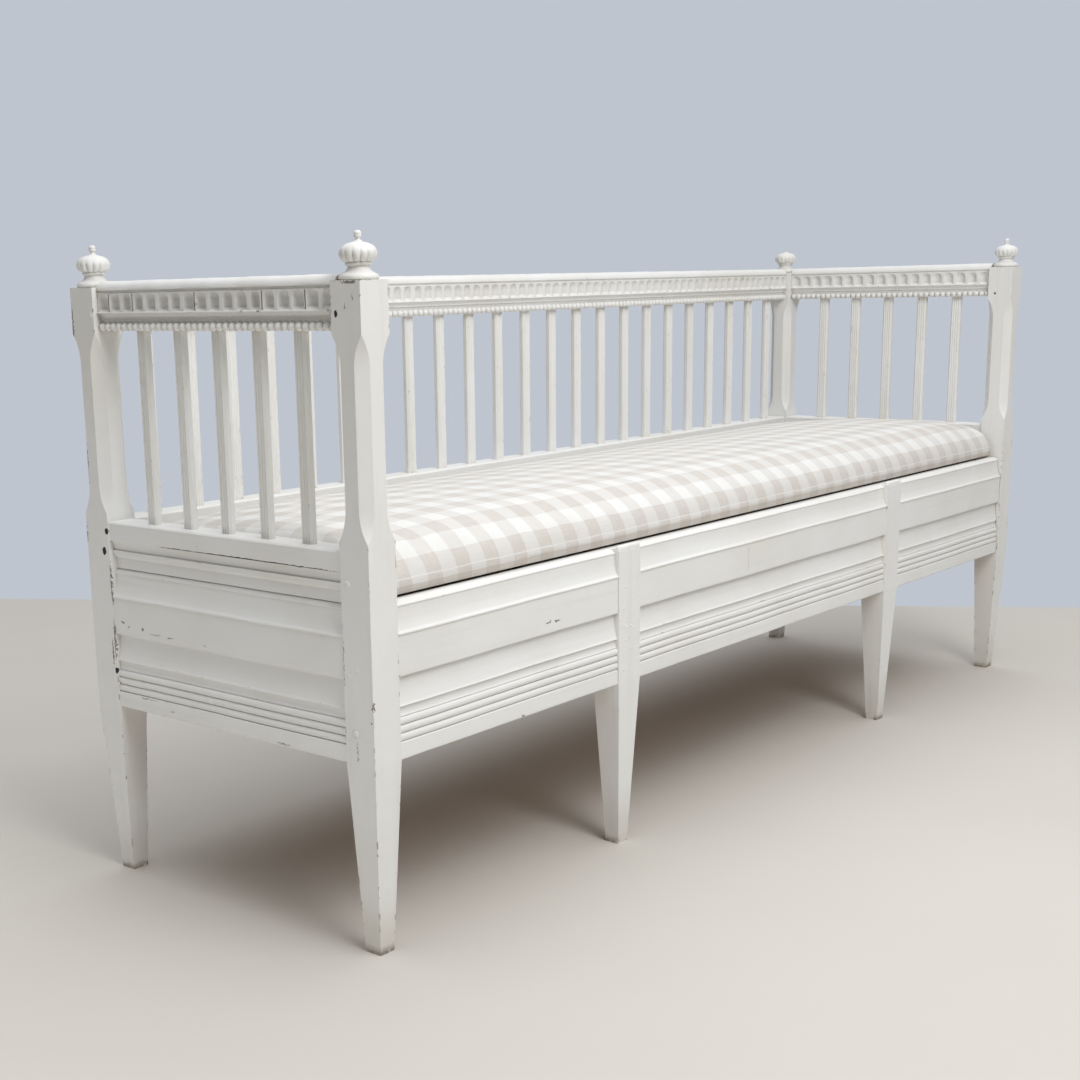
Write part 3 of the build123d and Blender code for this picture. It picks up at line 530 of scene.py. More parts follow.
BEAD_ROOT = 0.0123          # pearls' middles from the middle plane of a rail
BEAD_LEVEL = TOP_RAIL_BOTTOM + 0.0052
for side, side_name in ((-1, "left"), (1, "right")):
    for face, face_name in ((1, "outer"), (-1, "inner")):
        x = side * (POST_X + face * BEAD_ROOT)
        pearl_string(
            f"{side_name}_{face_name}_pearls", Vector((x, -INNER_Y, BEAD_LEVEL)),
            Vector((x, INNER_Y, BEAD_LEVEL)), END_PEARLS, Vector((side * face, 0, 0)),
        )
pearl_string(
    "back_pearls", Vector((-INNER_X, POST_Y - BEAD_ROOT, BEAD_LEVEL)),
    Vector((INNER_X, POST_Y - BEAD_ROOT, BEAD_LEVEL)), BACK_PEARLS, -ALONG_Y,
)

# ------------------------------------------------------------------ carved top rails
RAIL_HALF = 0.016           # middle plane to the fluted face
BEAD_HEIGHT = 0.010
BEAD_SWELL = 0.0006
RAIL_ROOT = RAIL_HALF - 0.005
COVE_TOP = TOP_RAIL_BOTTOM + 0.023
FLUTE_BOTTOM = COVE_TOP + 0.0025
FILLET_LIP = 0.0018
CREST = 0.0075
FLUTE_WIDTH = 0.0214
FLUTE_HEIGHT = 0.023
FLUTE_DEPTH = 0.0062
FLUTE_EXIT = 0.0036         # height over which a scoop runs out at its foot
FLUTE_SWAY = 0.0007         # how far a flute may stray from its place
FLUTE_SHIFTS = 97           # random strays, more than a rail has flutes
END_FLUTES = 18
BACK_FLUTES = 73
END_STEP = 0.0013           # length between two sections of a rail
BACK_STEP = 0.0014
CRACK_DEPTH = 0.006
CRACK_REACH = 0.0010
LEFT_CRACKS = (0.2005, 0.1504, 0.0251, -0.1002, -0.1754)
COVE_RISE = 0.013


def rail_section(plain):
    """One side of a top rail from its underside to its crest, as (distance from the middle
    plane, level)."""
    points = [(0.004, TOP_RAIL_BOTTOM)]
    for step in range(9):
        angle = math.pi * step / 8
        level = TOP_RAIL_BOTTOM + BEAD_HEIGHT * (1 - math.cos(angle)) / 2
        points.append((RAIL_ROOT + BEAD_SWELL * math.sin(angle), level))
    radius = ((RAIL_HALF - RAIL_ROOT) ** 2 + COVE_RISE ** 2) / (2 * (RAIL_HALF - RAIL_ROOT))
    for step in range(1, 9):
        rise = COVE_RISE * step / 8
        reach = RAIL_ROOT + radius - math.sqrt(radius ** 2 - rise ** 2)
        level = COVE_TOP - COVE_RISE + rise
        if step == 4:       # a small step half-way up the cove
            points += [(reach + 0.0012, level - 0.0008), (reach + 0.0010, level)]
        else:
            points.append((reach, level))
    lip = RAIL_HALF + FILLET_LIP
    points += [(lip - 0.0003, COVE_TOP), (lip, COVE_TOP + 0.0003), (lip, FLUTE_BOTTOM - 0.0016)]
    points += [(lip - 0.0004, FLUTE_BOTTOM - 0.0010), (RAIL_HALF, FLUTE_BOTTOM)]
    rows = 4 if plain else 30
    foot = FLUTE_BOTTOM + 0.0002
    brow = FLUTE_BOTTOM + FLUTE_HEIGHT + 0.0004
    points += [(RAIL_HALF, foot + (brow - foot) * step / rows) for step in range(rows + 1)]
    fascia = RAIL_HALF - 0.0015
    top = POST_HEIGHT
    points += [(fascia, brow + 0.0012), (fascia, brow + 0.0020)]
    points += [(fascia, top - 0.0058), (fascia + 0.0004, top - 0.0053)]
    points += [(0.0163, top - 0.0048), (0.0166, top - 0.0042), (0.0163, top - 0.0026)]
    points += [(0.0156, top - 0.0006), (0.0144, top + 0.0016), (0.0124, top + 0.0038)]
    points += [(0.0096, top + 0.0057), (0.0066, top + 0.0069), (0.0034, top + CREST)]
    return points


def flute_depth(along, level, pitch, wander):
    """How deep the scoop of a flute lies at this place along the rail and at this level."""
    index = math.floor(along / pitch)
    across = (along / pitch - index - 0.5) * pitch - wander[index % len(wander)]
    half = FLUTE_WIDTH / 2 * (1 - 0.25 * abs(wander[(index + 5) % len(wander)]) / FLUTE_SWAY)
    spring = FLUTE_BOTTOM + FLUTE_HEIGHT - half
    rise = max(0.0, (level - spring) / half)
    reach = (abs(across) / half) ** 2.2 + rise ** 2.2
    foot = min(1.0, (level - FLUTE_BOTTOM) / FLUTE_EXIT) ** 0.8
    return FLUTE_DEPTH * foot * max(0.0, 1 - reach) ** 0.72


def carved_rail(name, node, origin, along, outward, half_span, count, both_faces, step, material,
                cracks=()):
    """A top rail with scooped flutes: origin is on its middle plane, on the floor, and step is
    the length between two of its sections. Cracks are places where its outer face has opened."""
    rng = random.Random(len(name) * 31 + count)
    wander = [rng.uniform(-FLUTE_SWAY, FLUTE_SWAY) for _ in range(FLUTE_SHIFTS)]
    near, far = rail_section(False), rail_section(not both_faces)
    loop = [(distance, level, 1, True) for distance, level in near]
    loop += [(distance, level, -1, both_faces) for distance, level in reversed(far)]
    pitch = 2 * half_span / count
    regular = int(2 * half_span / step)
    places = [2 * half_span * station / regular for station in range(regular + 1)]
    for crack in cracks:
        places = [u for u in places if abs(u - crack - half_span) > 1.5 * CRACK_REACH]
        places += [crack + half_span + shift for shift in (-CRACK_REACH, 0, CRACK_REACH)]
    open_places = [crack + half_span for crack in cracks]
    points = []
    for u in sorted(places):
        sway = 0.00022 * math.sin(u * 61 + count) + 0.00015 * math.sin(u * 173)
        for distance, level, face, fluted in loop:
            reach = distance
            if fluted and distance == RAIL_HALF and level > FLUTE_BOTTOM:
                reach -= flute_depth(u, level, pitch, wander)
                if face > 0 and u in open_places and level < FLUTE_BOTTOM + FLUTE_HEIGHT:
                    reach = RAIL_HALF - CRACK_DEPTH
            elif level > TOP_RAIL_BOTTOM + 0.002:
                reach += sway
            rise = sway * 0.8 if level > POST_HEIGHT - 0.0045 else 0
            spot = origin + along * (u - half_span) + outward * (face * reach)
            points.append(spot + UP * (level + rise))
    faces = tube_faces(0, len(loop), len(places)) + cap_faces(0, len(loop), len(places))
    obj = piece(name, points, faces, material, "frame", crease=38)
    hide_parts(node)


for side, side_name in ((-1, "left"), (1, "right")):
    left = side_name == "left"
    carved_rail(
        f"{side_name}_carved_rail", f"{side_name}_top_rail", Vector((side * POST_X, 0, 0)), ALONG_Y,
        Vector((side, 0, 0)), INNER_Y, END_FLUTES, True, END_STEP,
        PAINT_RAIL_LEFT if left else PAINT_RAIL_Y, LEFT_CRACKS if left else (),
    )
carved_rail(
    "back_carved_rail", "back_top_rail", Vector((0, POST_Y, 0)), ALONG_X, -ALONG_Y, INNER_X,
    BACK_FLUTES, False, BACK_STEP, PAINT_RAIL_X,
)

# ------------------------------------------------------------------ moulded aprons
APRON_REAR = 0.028          # depths are behind the posts' face
HOLLOW_BACK = 0.0085
APRON_BOTTOM = 0.252
REED_TOP = 0.3060
REED = 0.0105
APRON_STATION = 0.012       # length between two sections of a board


def apron_section():
    """Section of an apron board from its rear top edge over its moulded face, as (depth behind
    the posts' face, level)."""
    top = APRON_TOP
    points = [(APRON_REAR, top), (0.0272, top), (0.0150, top), (0.0142, top - 0.0002)]
    points += [(0.0088, top - 0.0044), (0.0080, top - 0.0052), (0.0078, top - 0.0058)]
    points += [(0.0079, top - 0.0066), (0.0086, top - 0.0072), (0.0089, top - 0.0078)]
    for step in range(15):
        share = step / 14
        points.append((HOLLOW_BACK + 0.0002 - 0.0049 * share ** 2.4, top - 0.0086 - 0.0267 * share))
    points += [(0.0034, 0.4149), (0.0018, 0.4134), (0.0009, 0.4126), (0.0005, 0.4118), (0.0005, 0.4108)]
    points += [(0.0009, 0.4100), (0.0018, 0.4096), (0.0020, 0.4091), (0.0020, 0.4086)]
    points += [(0.0020, 0.4070 - 0.0064 * step) for step in range(8)]
    points += [(0.0020, 0.3592), (0.0021, 0.3586), (0.0026, 0.3580), (0.0034, 0.3577), (0.0040, 0.3576)]
    points += [(0.0078, 0.3576), (0.0084, 0.3575)]
    for step in range(15):
        share = step / 14
        points.append((HOLLOW_BACK - 0.0045 * share ** 2.6, 0.3570 - 0.0356 * share))
    points += [(0.0036, 0.3209), (0.0030, 0.3204), (0.0029, 0.3198), (0.0034, 0.3193), (0.0044, 0.3191)]
    points += [(0.0060, 0.3187), (0.0063, 0.3178), (0.0063, 0.3130), (0.0060, 0.3100), (0.0052, 0.3078)]
    points += [(0.0043, 0.3068), (0.0060, 0.3062)]
    for reed in range(3):
        for step in range(1, 12):
            angle = math.pi * step / 12
            depth = 0.0066 - 0.0046 * math.sin(angle) ** 0.75
            points.append((depth, REED_TOP - REED * reed - REED * (1 - math.cos(angle)) / 2))
        points.append((0.0066, REED_TOP - REED * (reed + 1)))
    points += [(0.0030, 0.2743), (0.0022, 0.2739), (0.0020, 0.2733), (0.0020, 0.2726)]
    points += [(0.0020, 0.2690 - 0.0040 * step) for step in range(4)]
    points += [(0.0020, APRON_BOTTOM + 0.0016), (0.0022, APRON_BOTTOM + 0.0006), (0.0028, APRON_BOTTOM)]
    points += [(0.0036, APRON_BOTTOM), (0.0272, APRON_BOTTOM), (APRON_REAR, APRON_BOTTOM)]
    return points


def moulded_apron(name, node, body, origin, along, outward, low, high, material):
    """An apron board along this direction, hand-planed a little uneven, from low to high."""
    section = apron_section()
    stations = max(2, int((high - low) / APRON_STATION))
    points = []
    for station in range(stations + 1):
        u = low + (high - low) * station / stations
        for depth, level in section:
            front = depth < 0.02
            ripple = 0.0002 * math.sin(u * 41 + level * 60) + 0.0001 * math.sin(u * 97 + level * 31)
            wave = 0 if level in (APRON_TOP, APRON_BOTTOM) else 0.0003 * math.sin(u * 17)
            reach = -depth + (min(ripple, depth - 0.0001) if front else 0)
            points.append(origin + along * u + outward * reach + UP * (level + wave))
    size = len(section)
    faces = tube_faces(0, size, stations + 1) + cap_faces(0, size, stations + 1)
    obj = piece(name, points, faces, material, body, crease=62)
    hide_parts(node)


for side, side_name in ((-1, "left"), (1, "right")):
    moulded_apron(
        f"{side_name}_moulded_apron", f"{side_name}_apron", "frame",
        Vector((side * HALF_LENGTH, 0, 0)), ALONG_Y, Vector((side, 0, 0)), -INNER_Y, INNER_Y, PAINT_Y,
    )
STILES = [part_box(f"{side_name}_middle_leg") for side_name in ("left", "right")]
TUCK = 0.0003               # how far a front board reaches into a stile
FRONT_SPANS = {             # between the stiles, without the tenons
    "left": (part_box("front_left_apron")[0].x, STILES[0][0].x + TUCK),
    "middle": (STILES[0][1].x - TUCK, STILES[1][0].x + TUCK),
    "right": (STILES[1][1].x - TUCK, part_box("front_right_apron")[1].x),
}
for part_name, (low, high) in FRONT_SPANS.items():
    moulded_apron(
        f"front_{part_name}_moulded_apron", f"front_{part_name}_apron", "pull_out",
        Vector((0, -HALF_DEPTH, 0)), ALONG_X, -ALONG_Y, low, high, PAINT_FRONT,
    )

# ------------------------------------------------------------------ reeded spindles
SEAT_RAIL_TOP = 0.517
SPINDLE_HALF = 0.010
SPINDLE_DEEP = 0.006
BEVEL = 0.003
END_SPINDLES = 5
BACK_SPINDLES = 23
FIRST_SPINDLE = INNER_X - 0.057


def spindle_section():
    """Section of a spindle as (across, deep): two shallow reeds down each broad face."""
    face = []
    flat = SPINDLE_HALF - BEVEL
    for step in range(19):
        across = -flat + 2 * flat * step / 18
        groove = math.cos(math.pi * across / flat * 1.5) ** 6
        face.append((across, SPINDLE_DEEP - 0.0012 * groove))
    side = [(SPINDLE_HALF, SPINDLE_DEEP - BEVEL), (SPINDLE_HALF, BEVEL - SPINDLE_DEEP)]
    half = face + side
    return half + [(-across, -deep) for across, deep in half]


def reeded_spindles(name, nodes, spots, along_x):
    """Spindles between seat rail and top rail, standing at these places."""
    section = spindle_section()
    points, faces = [], []
    for x, y in spots:
        start = len(points)
        lean = random.uniform(-0.0006, 0.0006)
        for level, shift in ((SEAT_RAIL_TOP, 0.0), (TOP_RAIL_BOTTOM, lean)):
            for across, deep in section:
                if along_x:
                    points.append((x + across + shift, y - deep, level))
                else:
                    points.append((x + deep, y + across + shift, level))
        faces += tube_faces(start, len(section), 2) + cap_faces(start, len(section), 2)
    obj = piece(name, points, faces, PAINT_Z, "frame", crease=30)
    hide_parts(*nodes)


def middle_of(node):
    low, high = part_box(node)
    return (low + high) / 2


for side_name in ("left", "right"):
    row = [f"{side_name}_spindle_{index}" for index in range(1, END_SPINDLES + 1)]
    reeded_spindles(f"{side_name}_reeded_spindles", row, [middle_of(node).xy for node in row], False)
BACK_PITCH = 2 * FIRST_SPINDLE / (BACK_SPINDLES - 1)
reeded_spindles(
    "back_reeded_spindles", ["back_spindles"],
    [(-FIRST_SPINDLE + BACK_PITCH * index, POST_Y) for index in range(BACK_SPINDLES)], True,
)

# ------------------------------------------------------------------ carved finials
# radius and height above the post, from the base disc up; the bun between its two marks is
# carved into gadroons
FINIAL = [
    (0.0, 0.0), (0.0228, 0.0), (0.0236, 0.0012), (0.0238, 0.0028), (0.0236, 0.0044), (0.0222, 0.0060),
    (0.0196, 0.0074), (0.0168, 0.0088), (0.0146, 0.0106), (0.0134, 0.0128), (0.0129, 0.0150),
    (0.0131, 0.0160), (0.0150, 0.0164), (0.0158, 0.0176), (0.0157, 0.0190), (0.0148, 0.0200),
]
BUN = [
    (0.0152, 0.0202), (0.0176, 0.0208), (0.0198, 0.0222), (0.0214, 0.0242), (0.0224, 0.0265),
    (0.0228, 0.0290), (0.0226, 0.0315), (0.0217, 0.0340), (0.0201, 0.0364), (0.0178, 0.0385),
    (0.0148, 0.0402), (0.0114, 0.0415), (0.0084, 0.0422),
]
KNOB = [
    (0.0062, 0.0425), (0.0056, 0.0432), (0.0044, 0.0441), (0.0031, 0.0452), (0.0027, 0.0464),
    (0.0034, 0.0474), (0.0044, 0.0484), (0.0048, 0.0497), (0.0046, 0.0506), (0.0042, 0.0510),
    (0.0046, 0.0515), (0.0047, 0.0526), (0.0043, 0.0539), (0.0033, 0.0550), (0.0017, 0.0557),
    (0.0, 0.0559),
]
STUB = [
    (0.0062, 0.0425), (0.0056, 0.0434), (0.0048, 0.0447), (0.0034, 0.0449), (0.0016, 0.0440), (0.0, 0.0438),
]
GADROON_SHARE = (0.45, 0.8, 1.0, 1.0, 0.85, 0.55, 0.26, 0.1, 0.03, 0.0, 0.0, 0.0, 0.0)
GADROONS = 14
GADROON_DEPTH = 0.2
TURNS = GADROONS * 10


def lobed(angle, depth):
    """Radius factor of a ring of gadroons: round lobes with sharp valleys."""
    phase = (angle * GADROONS / (2 * math.pi)) % 1.0
    return 1 - depth * (1 - math.sin(math.pi * phase) ** 0.55)


def make_finial(name, node, x, y, knob):
    """A turned finial on a post, with its knob or with the stub that a broken one leaves."""
    profile = FINIAL + BUN + (KNOB if knob else STUB)
    first_bun, last_bun = len(FINIAL), len(FINIAL) + len(BUN)
    points = []
    for index, (radius, level) in enumerate(profile):
        carved = first_bun <= index < last_bun
        share = GADROON_SHARE[index - first_bun] if carved else 0
        for turn in range(TURNS):
            angle = 2 * math.pi * turn / TURNS
            reach = radius * lobed(angle, GADROON_DEPTH * share) if carved else radius
            across, deep = reach * math.cos(angle), reach * math.sin(angle)
            points.append((x + across, y + deep, POST_HEIGHT + level))
    faces = tube_faces(0, TURNS, len(profile))
    obj = piece(name, points, faces, PAINT_FINIAL, "frame", weld=0.00002)
    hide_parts(node)


for side, side_name in ((-1, "left"), (1, "right")):
    for end, end_name in ((-1, "front"), (1, "back")):
        corner = f"{end_name}_{side_name}"
        make_finial(
            f"{corner}_carved_finial", f"{corner}_finial", side * POST_X, end * POST_Y,
            corner != "back_right",
        )

# ------------------------------------------------------------------ tops of the stiles
STILE_LIP = 0.0046          # how far a stile's tongue stands above the aprons
for side_name in ("left", "right"):
    (x_low, y_low, _), (x_high, _, z_high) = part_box(f"{side_name}_middle_leg")
    top = STILE_LIP
    lip = [(0.0006, -0.012), (0.0006, top - 0.0024), (0.0014, top - 0.0008), (0.0030, top)]
    lip += [(0.0064, top), (0.0078, top - 0.0010), (0.0080, top - 0.0030), (0.0080, -0.012)]
    edge = [(0.0007, 0.0022), (0.0016, 0.0006), (0.0032, 0.0)]
    columns = [(x_low + inset, drop) for inset, drop in edge]
    columns += [(x_high - inset, drop) for inset, drop in reversed(edge)]
    points = []
    for x, drop in columns:
        for depth, rise in lip:
            y = y_low + 0.0040 + (depth - 0.0043) * (1 - drop * 90)
            points.append((x, y, z_high + rise - (drop if rise > 0 else 0)))
    faces = cap_faces(0, len(lip), len(columns)) + tube_faces(0, len(lip), len(columns))
    piece(f"{side_name}_stile_lip", points, faces, PAINT_STILE, "pull_out")

# ------------------------------------------------------------------ pegs and blisters
DOME_TURNS = 12
DOME_RINGS = ((0.45, 0.92), (0.78, 0.62), (0.95, 0.2), (1.0, -0.4))     # shares of radius and height
BLISTERS = 34


def domes(name, body, spots, outward):
    """Low rounded bumps on a flat face: spots are (x, y, z, radius, height)."""
    side = UP.cross(outward)
    points, faces = [], []
    for x, y, z, radius, height in spots:
        centre = Vector((x, y, z))
        start = len(points)
        points.append(centre + outward * height)
        for share, rise in DOME_RINGS:
            for turn in range(DOME_TURNS):
                angle = 2 * math.pi * turn / DOME_TURNS
                flat = (side * math.cos(angle) + UP * math.sin(angle)) * radius * share
                points.append(centre + flat + outward * height * rise)
        faces += fan_faces(start, DOME_TURNS)
        faces += tube_faces(start + 1, DOME_TURNS, len(DOME_RINGS), turned=True)
        faces.append(tuple(range(len(points) - DOME_TURNS, len(points))))
    piece(name, points, faces, PAINT_WHOLE, body)


domes("left_post_pegs", "frame", (
    (-0.975, -0.2422, 0.2915, 0.0052, 0.0011), (-0.975, -0.2370, 0.4775, 0.0046, 0.0009),
    (-0.975, 0.2311, 0.7978, 0.0042, 0.0010), (-0.975, -0.2480, 0.3730, 0.0045, 0.0006),
    (-0.975, -0.2340, 0.3640, 0.0030, 0.0006), (-0.975, 0.2249, 0.2860, 0.0026, 0.0008),
), -ALONG_X)
rng = random.Random(5)
blisters = []
for _ in range(BLISTERS):
    size = rng.uniform(0.0009, 0.0023)
    across = rng.uniform(-0.448, -0.414)
    level = rng.choice((rng.gauss(0.375, 0.016), rng.gauss(0.32, 0.02)))
    blisters.append((across, -HALF_DEPTH, level, size, size * 0.3))
domes("left_stile_blisters", "pull_out", blisters, -ALONG_Y)

# ------------------------------------------------------------------ the gingham seat
PAD_FRONT = -0.2605
PAD_BACK = 0.2225
PAD_END = 0.9235
PAD_BOTTOM = 0.4596
PAD_CROWN = 0.064
PAD_DROP = 0.0056           # how far its front roll hangs below the seat board
PAD_OVERHANG = 0.029        # front of the pad to the front edge of the board
PAD_HEART = 0.020           # height of the line that its ends draw in towards
PAD_HEEL = 0.044            # height of its back edge
PAD_ROUNDING = 0.011        # length over which an end rounds off
PAD_DRAW = (0.006, 0.017)   # how far an end draws in, in depth and in height
PAD_LEVEL = 0.66            # half the length that stays level; the ends fall beyond it
PAD_FALL = 0.17             # share of its height that an end falls
PAD_SPANS = 60
VOXEL = 0.0065
STUFFING_FRAMES = 20
HELD_BAND = 0.0035          # the cover this near the board is held flat on it
CAP = 0.006                 # how far the stuffing may push the cover out
LIMIT_X = 0.9245
LIMIT_Y = (PAD_FRONT - 0.012, PAD_BACK + 0.0005)
WRAP_START = 0.90           # half the length beyond which the cloth turns down an end
WRAP_REACH = 0.02
WRAP_SHARE = 0.8
WEAVE_BATCH = 4000

PAD_FACE = (                # front of the pad as (behind its front, above its lowest line)
    (0.0130, 0.0), (0.0076, 0.0008), (0.0042, 0.0028), (0.0018, 0.0060), (0.0004, 0.0090), (0.0, 0.0108),
    (0.0005, 0.0140), (0.0014, 0.0180), (0.0022, 0.0210), (0.0030, 0.0234), (0.0055, 0.0298),
    (0.0091, 0.0368), (0.0143, 0.0436),
    (0.0214, 0.0500), (0.0310, 0.0558), (0.0440, 0.0610), (0.0620, 0.0654), (0.0860, 0.0692),
    (0.1150, 0.0716), (0.1500, 0.0731), (0.1900, 0.0735), (0.2400, 0.0726), (0.2900, 0.0706),
    (0.3400, 0.0674), (0.3900, 0.0630), (0.4300, 0.0586), (0.4600, 0.0546),
)


def pad_section():
    """Closed section of the pad before it is stuffed, as (y, z) from the middle of its
    underside round the full front roll, over the crown and down the back."""
    middle = (PAD_FRONT + PAD_BACK) / 2
    hang = PAD_BOTTOM - PAD_DROP
    points = [(middle, PAD_BOTTOM), (PAD_FRONT + PAD_OVERHANG + 0.002, PAD_BOTTOM)]
    points += [(PAD_FRONT + PAD_OVERHANG, PAD_BOTTOM - 0.002), (PAD_FRONT + PAD_OVERHANG - 0.003, hang)]
    points += [(PAD_FRONT + behind, hang + above) for behind, above in PAD_FACE]
    heel = PAD_BOTTOM + PAD_HEEL
    points += [(PAD_BACK - 0.010, heel), (PAD_BACK - 0.002, heel - 0.009), (PAD_BACK, PAD_BOTTOM + 0.02)]
    points += [(PAD_BACK - 0.004, PAD_BOTTOM + 0.004), (PAD_BACK - 0.018, PAD_BOTTOM)]
    return points


def make_pad():
    """Lofts the section along the seat with rounded ends, then stuffs it with Cloth."""
    section = np.array(pad_section())
    middle = np.array([(PAD_FRONT + PAD_BACK) / 2, PAD_BOTTOM + PAD_HEART])
    half = np.abs(section - middle).max(axis=0)
    ends = [math.sin(math.pi / 2 * step / 9) for step in range(10)]
    inner = PAD_END - PAD_ROUNDING
    stations = [(-PAD_END + PAD_ROUNDING * (1 - math.cos(math.asin(share))), share) for share in ends]
    stations += [(-inner + 2 * inner * step / PAD_SPANS, 1.0) for step in range(1, PAD_SPANS)]
    stations += [(-x, share) for x, share in reversed(stations[:len(ends)])]
    points = []
    for x, share in stations:
        ring = middle + (section - middle) * (1 - np.array(PAD_DRAW) * (1 - share) / half)
        fall = 1 - PAD_FALL * max(0.0, (abs(x) - PAD_LEVEL) / (PAD_END - PAD_LEVEL)) ** 2
        for y, z in ring:
            low = PAD_BOTTOM if y > PAD_FRONT + PAD_OVERHANG else PAD_BOTTOM - PAD_DROP
            points.append((x, y, low + (max(z, low) - low) * fall))
    first_cap, last_cap = cap_faces(0, len(section), len(stations))
    faces = tube_faces(0, len(section), len(stations), turned=True) + [first_cap, last_cap[::-1]]
    mesh = mesh_of("gingham_seat", points, faces)
    face_out(mesh)
    obj = add_object("gingham_seat", mesh)
    bpy.context.view_layer.objects.active = obj
    remesh = obj.modifiers.new("even", "REMESH")
    remesh.mode = "VOXEL"
    remesh.voxel_size = VOXEL
    apply_modifiers(obj)
    stuff(obj)
    smooth = obj.modifiers.new("smooth", "SMOOTH")
    smooth.factor, smooth.iterations = 0.5, 3
    detail = obj.modifiers.new("detail", "SUBSURF")
    detail.levels = detail.render_levels = 1
    apply_modifiers(obj)
    measure_cloth(obj)
    dress(obj, GINGHAM, "seat")
    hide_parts("seat_pad")


def apply_modifiers(obj):
    """Replaces the mesh by its evaluated copy and drops the modifiers."""
    bpy.context.view_layer.update()
    evaluated = obj.evaluated_get(bpy.context.evaluated_depsgraph_get())
    mesh = bpy.data.meshes.new_from_object(evaluated)
    obj.modifiers.clear()
    obj.data = mesh


def coordinates(obj):
    co = np.zeros(len(obj.data.vertices) * 3)
    obj.data.vertices.foreach_get("co", co)
    return co.reshape(-1, 3)


def stuff(obj):
    """Inflates the cover a little with Cloth: its underside stays flat on the seat board."""
    before = coordinates(obj)
    held = obj.vertex_groups.new(name="held")
    floor = np.where(before[:, 1] > PAD_FRONT + PAD_OVERHANG, PAD_BOTTOM, PAD_BOTTOM - PAD_DROP)
    flat = np.nonzero(before[:, 2] < floor + HELD_BAND)[0]
    held.add([int(index) for index in flat], 1.0, "REPLACE")
    cloth = obj.modifiers.new("stuffing", "CLOTH")
    settings = cloth.settings
    settings.quality = 4
    settings.mass = 0.35
    settings.tension_stiffness = settings.compression_stiffness = 12
    settings.shear_stiffness = 6
    settings.bending_stiffness = 0.4
    settings.use_pressure = True
    settings.uniform_pressure_force = 4.0
    settings.vertex_group_mass = "held"
    settings.effector_weights.gravity = 0.0
    settings.shrink_min = -0.012
    cloth.collision_settings.use_collision = False
    scene = bpy.context.scene
    for step in range(1, STUFFING_FRAMES + 1):
        scene.frame_set(step)
    apply_modifiers(obj)
    scene.frame_set(1)
    after = coordinates(obj)
    move = after - before
    length = np.linalg.norm(move, axis=1)
    limit = CAP * np.tanh(length / CAP)
    move *= (limit / np.maximum(length, 1e-9))[:, None]
    placed = before + move
    placed[:, 2] = np.maximum(placed[:, 2], floor)
    placed[:, 0] = np.clip(placed[:, 0], -LIMIT_X, LIMIT_X)
    placed[:, 1] = np.clip(placed[:, 1], *LIMIT_Y)
    obj.data.vertices.foreach_set("co", placed.ravel())
    obj.data.update()
    obj.vertex_groups.clear()


def measure_cloth(obj):
    """Writes how far along the cloth each point is, over the ends and round the front roll."""
    section = np.array(pad_section())
    dense = [section[0]]
    for start, stop in zip(section, np.roll(section, -1, axis=0)):
        steps = max(1, int(np.linalg.norm(stop - start) / 0.001))
        dense += [start + (stop - start) * step / steps for step in range(1, steps + 1)]
    dense = np.array(dense)
    length = np.concatenate([[0], np.cumsum(np.linalg.norm(np.diff(dense, axis=0), axis=1))])
    co = coordinates(obj)
    spread = np.empty(len(co))
    for first in range(0, len(co), WEAVE_BATCH):
        part = co[first:first + WEAVE_BATCH, 1:]
        distance = ((part[:, None, :] - dense[None, :, :]) ** 2).sum(axis=2)
        spread[first:first + WEAVE_BATCH] = length[distance.argmin(axis=1)]
    reach = np.abs(co[:, 0])
    over = np.maximum(0, reach - WRAP_START)
    fall = np.maximum(0, (PAD_BOTTOM + PAD_CROWN) - co[:, 2])
    run = np.sign(co[:, 0]) * (reach + np.minimum(1, over / WRAP_REACH) * fall * WRAP_SHARE)
    cloth = obj.data.attributes.new("weave", "FLOAT_VECTOR", "POINT")
    cloth.data.foreach_set("vector", np.stack([run, spread, np.zeros(len(co))], axis=1).ravel())


make_pad()

# ------------------------------------------------------------------ stage, light and camera
# the floor ends behind the bench, where the backdrop begins
FLOOR = [(-3.32, 7.71, 0), (-12.0, 1.5, 0), (-7.0, -9.0, 0), (4.0, -9.0, 0), (5.22, -5.82, 0)]
FLOOR_COLOUR = rgb(207, 203, 196)


def floor_material():
    m = Mat("pale_floor")
    darker = tuple(0.9 * channel for channel in FLOOR_COLOUR[:3]) + (1,)
    cloud = m.ramp(m.noise(m.place, 1.3, 5, 0.6), 0.35, 0.7)
    m.feed(m.shader.inputs["Base Color"], m.tint(cloud, 0.25, FLOOR_COLOUR, darker))
    m.shader.inputs["Roughness"].default_value = 0.85
    return m.material


floor = add_object("floor", mesh_of("floor", FLOOR, [tuple(range(len(FLOOR)))]))
floor.data.materials.append(floor_material())


def area_light(name, place, aim, size, power):
    data = bpy.data.lights.new(name, "AREA")
    data.shape = "RECTANGLE"
    data.size, data.size_y = size
    data.energy = power
    lamp = add_object(name, data)
    lamp.location = place
    lamp.rotation_mode = "QUATERNION"
    lamp.rotation_quaternion = (Vector(aim) - Vector(place)).to_track_quat("-Z", "Y")
    lamp.visible_camera = False


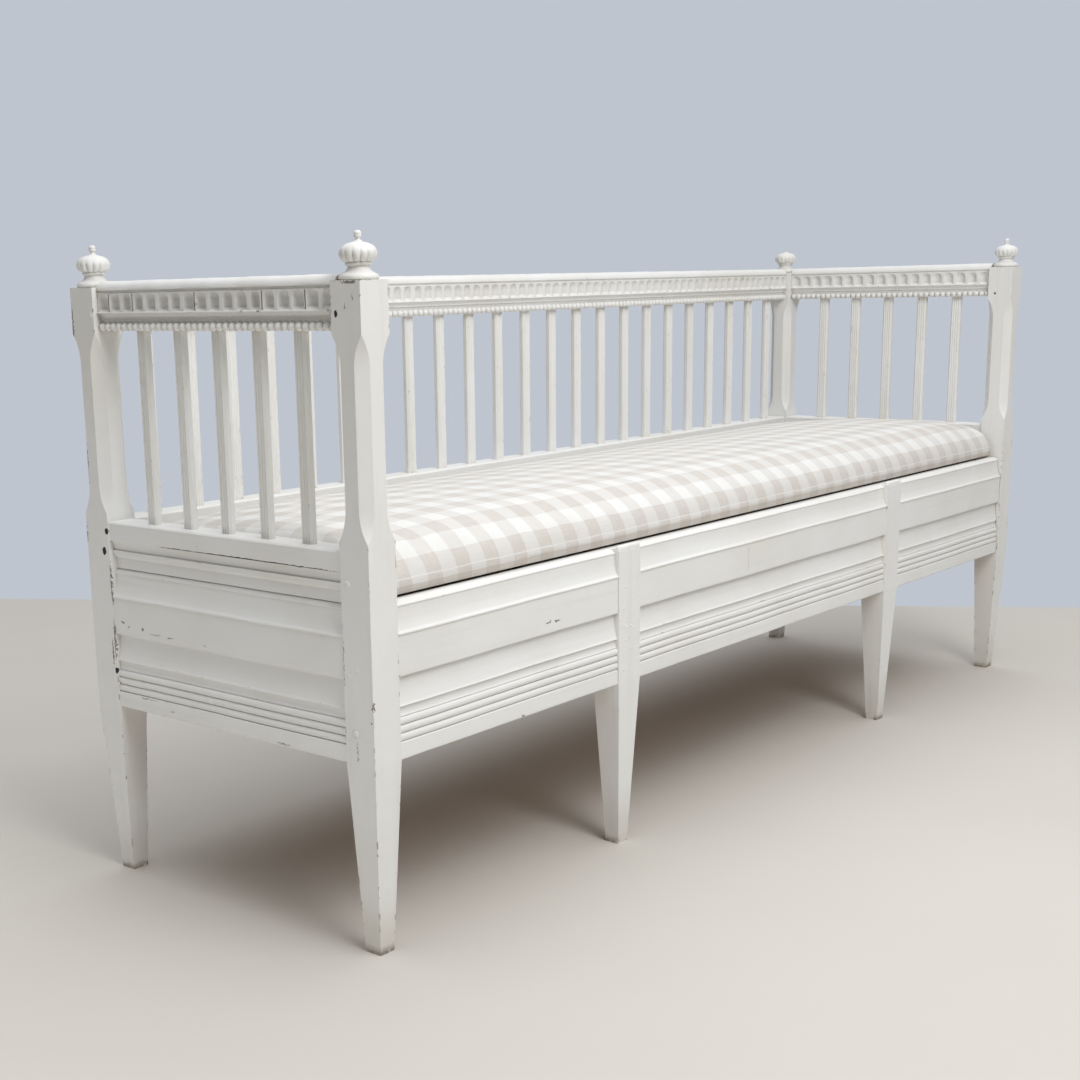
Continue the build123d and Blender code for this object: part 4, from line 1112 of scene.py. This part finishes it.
area_light("window", (-1.3, -2.6, 2.8), (0.1, 0, 0.4), (1.2, 1.6), 43)
area_light("fill", (-0.7, -1.3, 2.3), (0.975, 0, 0.6), (1.0, 1.0), 14)
area_light("reflector", (-1.75, 0.1, 0.03), (-0.975, 0, 0.22), (1.4, 0.2), 1.5)

world = bpy.data.worlds.new("studio")
bpy.context.scene.world = world
world.use_nodes = True
w = Nodes(world.node_tree)
ambient = w.tree.nodes["Background"]
ambient.inputs["Color"].default_value = (0.99, 0.995, 1.0, 1.0)
sky = w.split(w.put("ShaderNodeTexCoord", {}).outputs["Generated"])
overhead = w.ramp(w.math("POWER", sky["Z"], 3.0, clamp=True), 0.0, 1.0, 0.0, 2.05, "LINEAR")
from_left = w.ramp(sky["X"], -0.8, 0.2, 0.55, 1.06, "LINEAR")
w.feed(ambient.inputs["Strength"], w.math("MULTIPLY", overhead, from_left))
# the camera and reflections see a plain backdrop instead
ray = w.put("ShaderNodeLightPath", {}).outputs
seen = w.math("MAXIMUM", ray["Is Camera Ray"], ray["Is Glossy Ray"])
seen = w.math("MAXIMUM", seen, ray["Is Transmission Ray"])
backdrop = w.put("ShaderNodeBackground", {"Color": rgb(191, 197, 207), "Strength": 1.0}).outputs[0]
studio = w.put("ShaderNodeMixShader", {0: seen, 1: ambient.outputs[0], 2: backdrop}).outputs[0]
w.feed(w.tree.nodes["World Output"].inputs["Surface"], studio)

# fitted to the object's corners in the photograph
CAMERA_PLACE = (-2.3073, -1.5484, 0.8266)
azimuth, elevation, roll = (math.radians(value) for value in (-48.105, 12.657, -1.437))
forward = -Vector((
    math.sin(azimuth) * math.cos(elevation),
    -math.cos(azimuth) * math.cos(elevation),
    math.sin(elevation),
))
level = forward.cross(UP).normalized()
upward = level.cross(forward)
right = math.cos(roll) * level + math.sin(roll) * upward
above = -math.sin(roll) * level + math.cos(roll) * upward
camera_data = bpy.data.cameras.new("camera")
camera_data.sensor_width = 36
camera_data.lens = 52.61
camera_data.shift_x = 0.1105
camera_data.shift_y = 0.0927
camera = add_object("camera", camera_data)
axes = Matrix((right, above, -forward)).transposed().to_4x4()
camera.matrix_world = Matrix.Translation(CAMERA_PLACE) @ axes
bpy.context.scene.camera = camera
bpy.context.scene.view_settings.view_transform = "Standard"
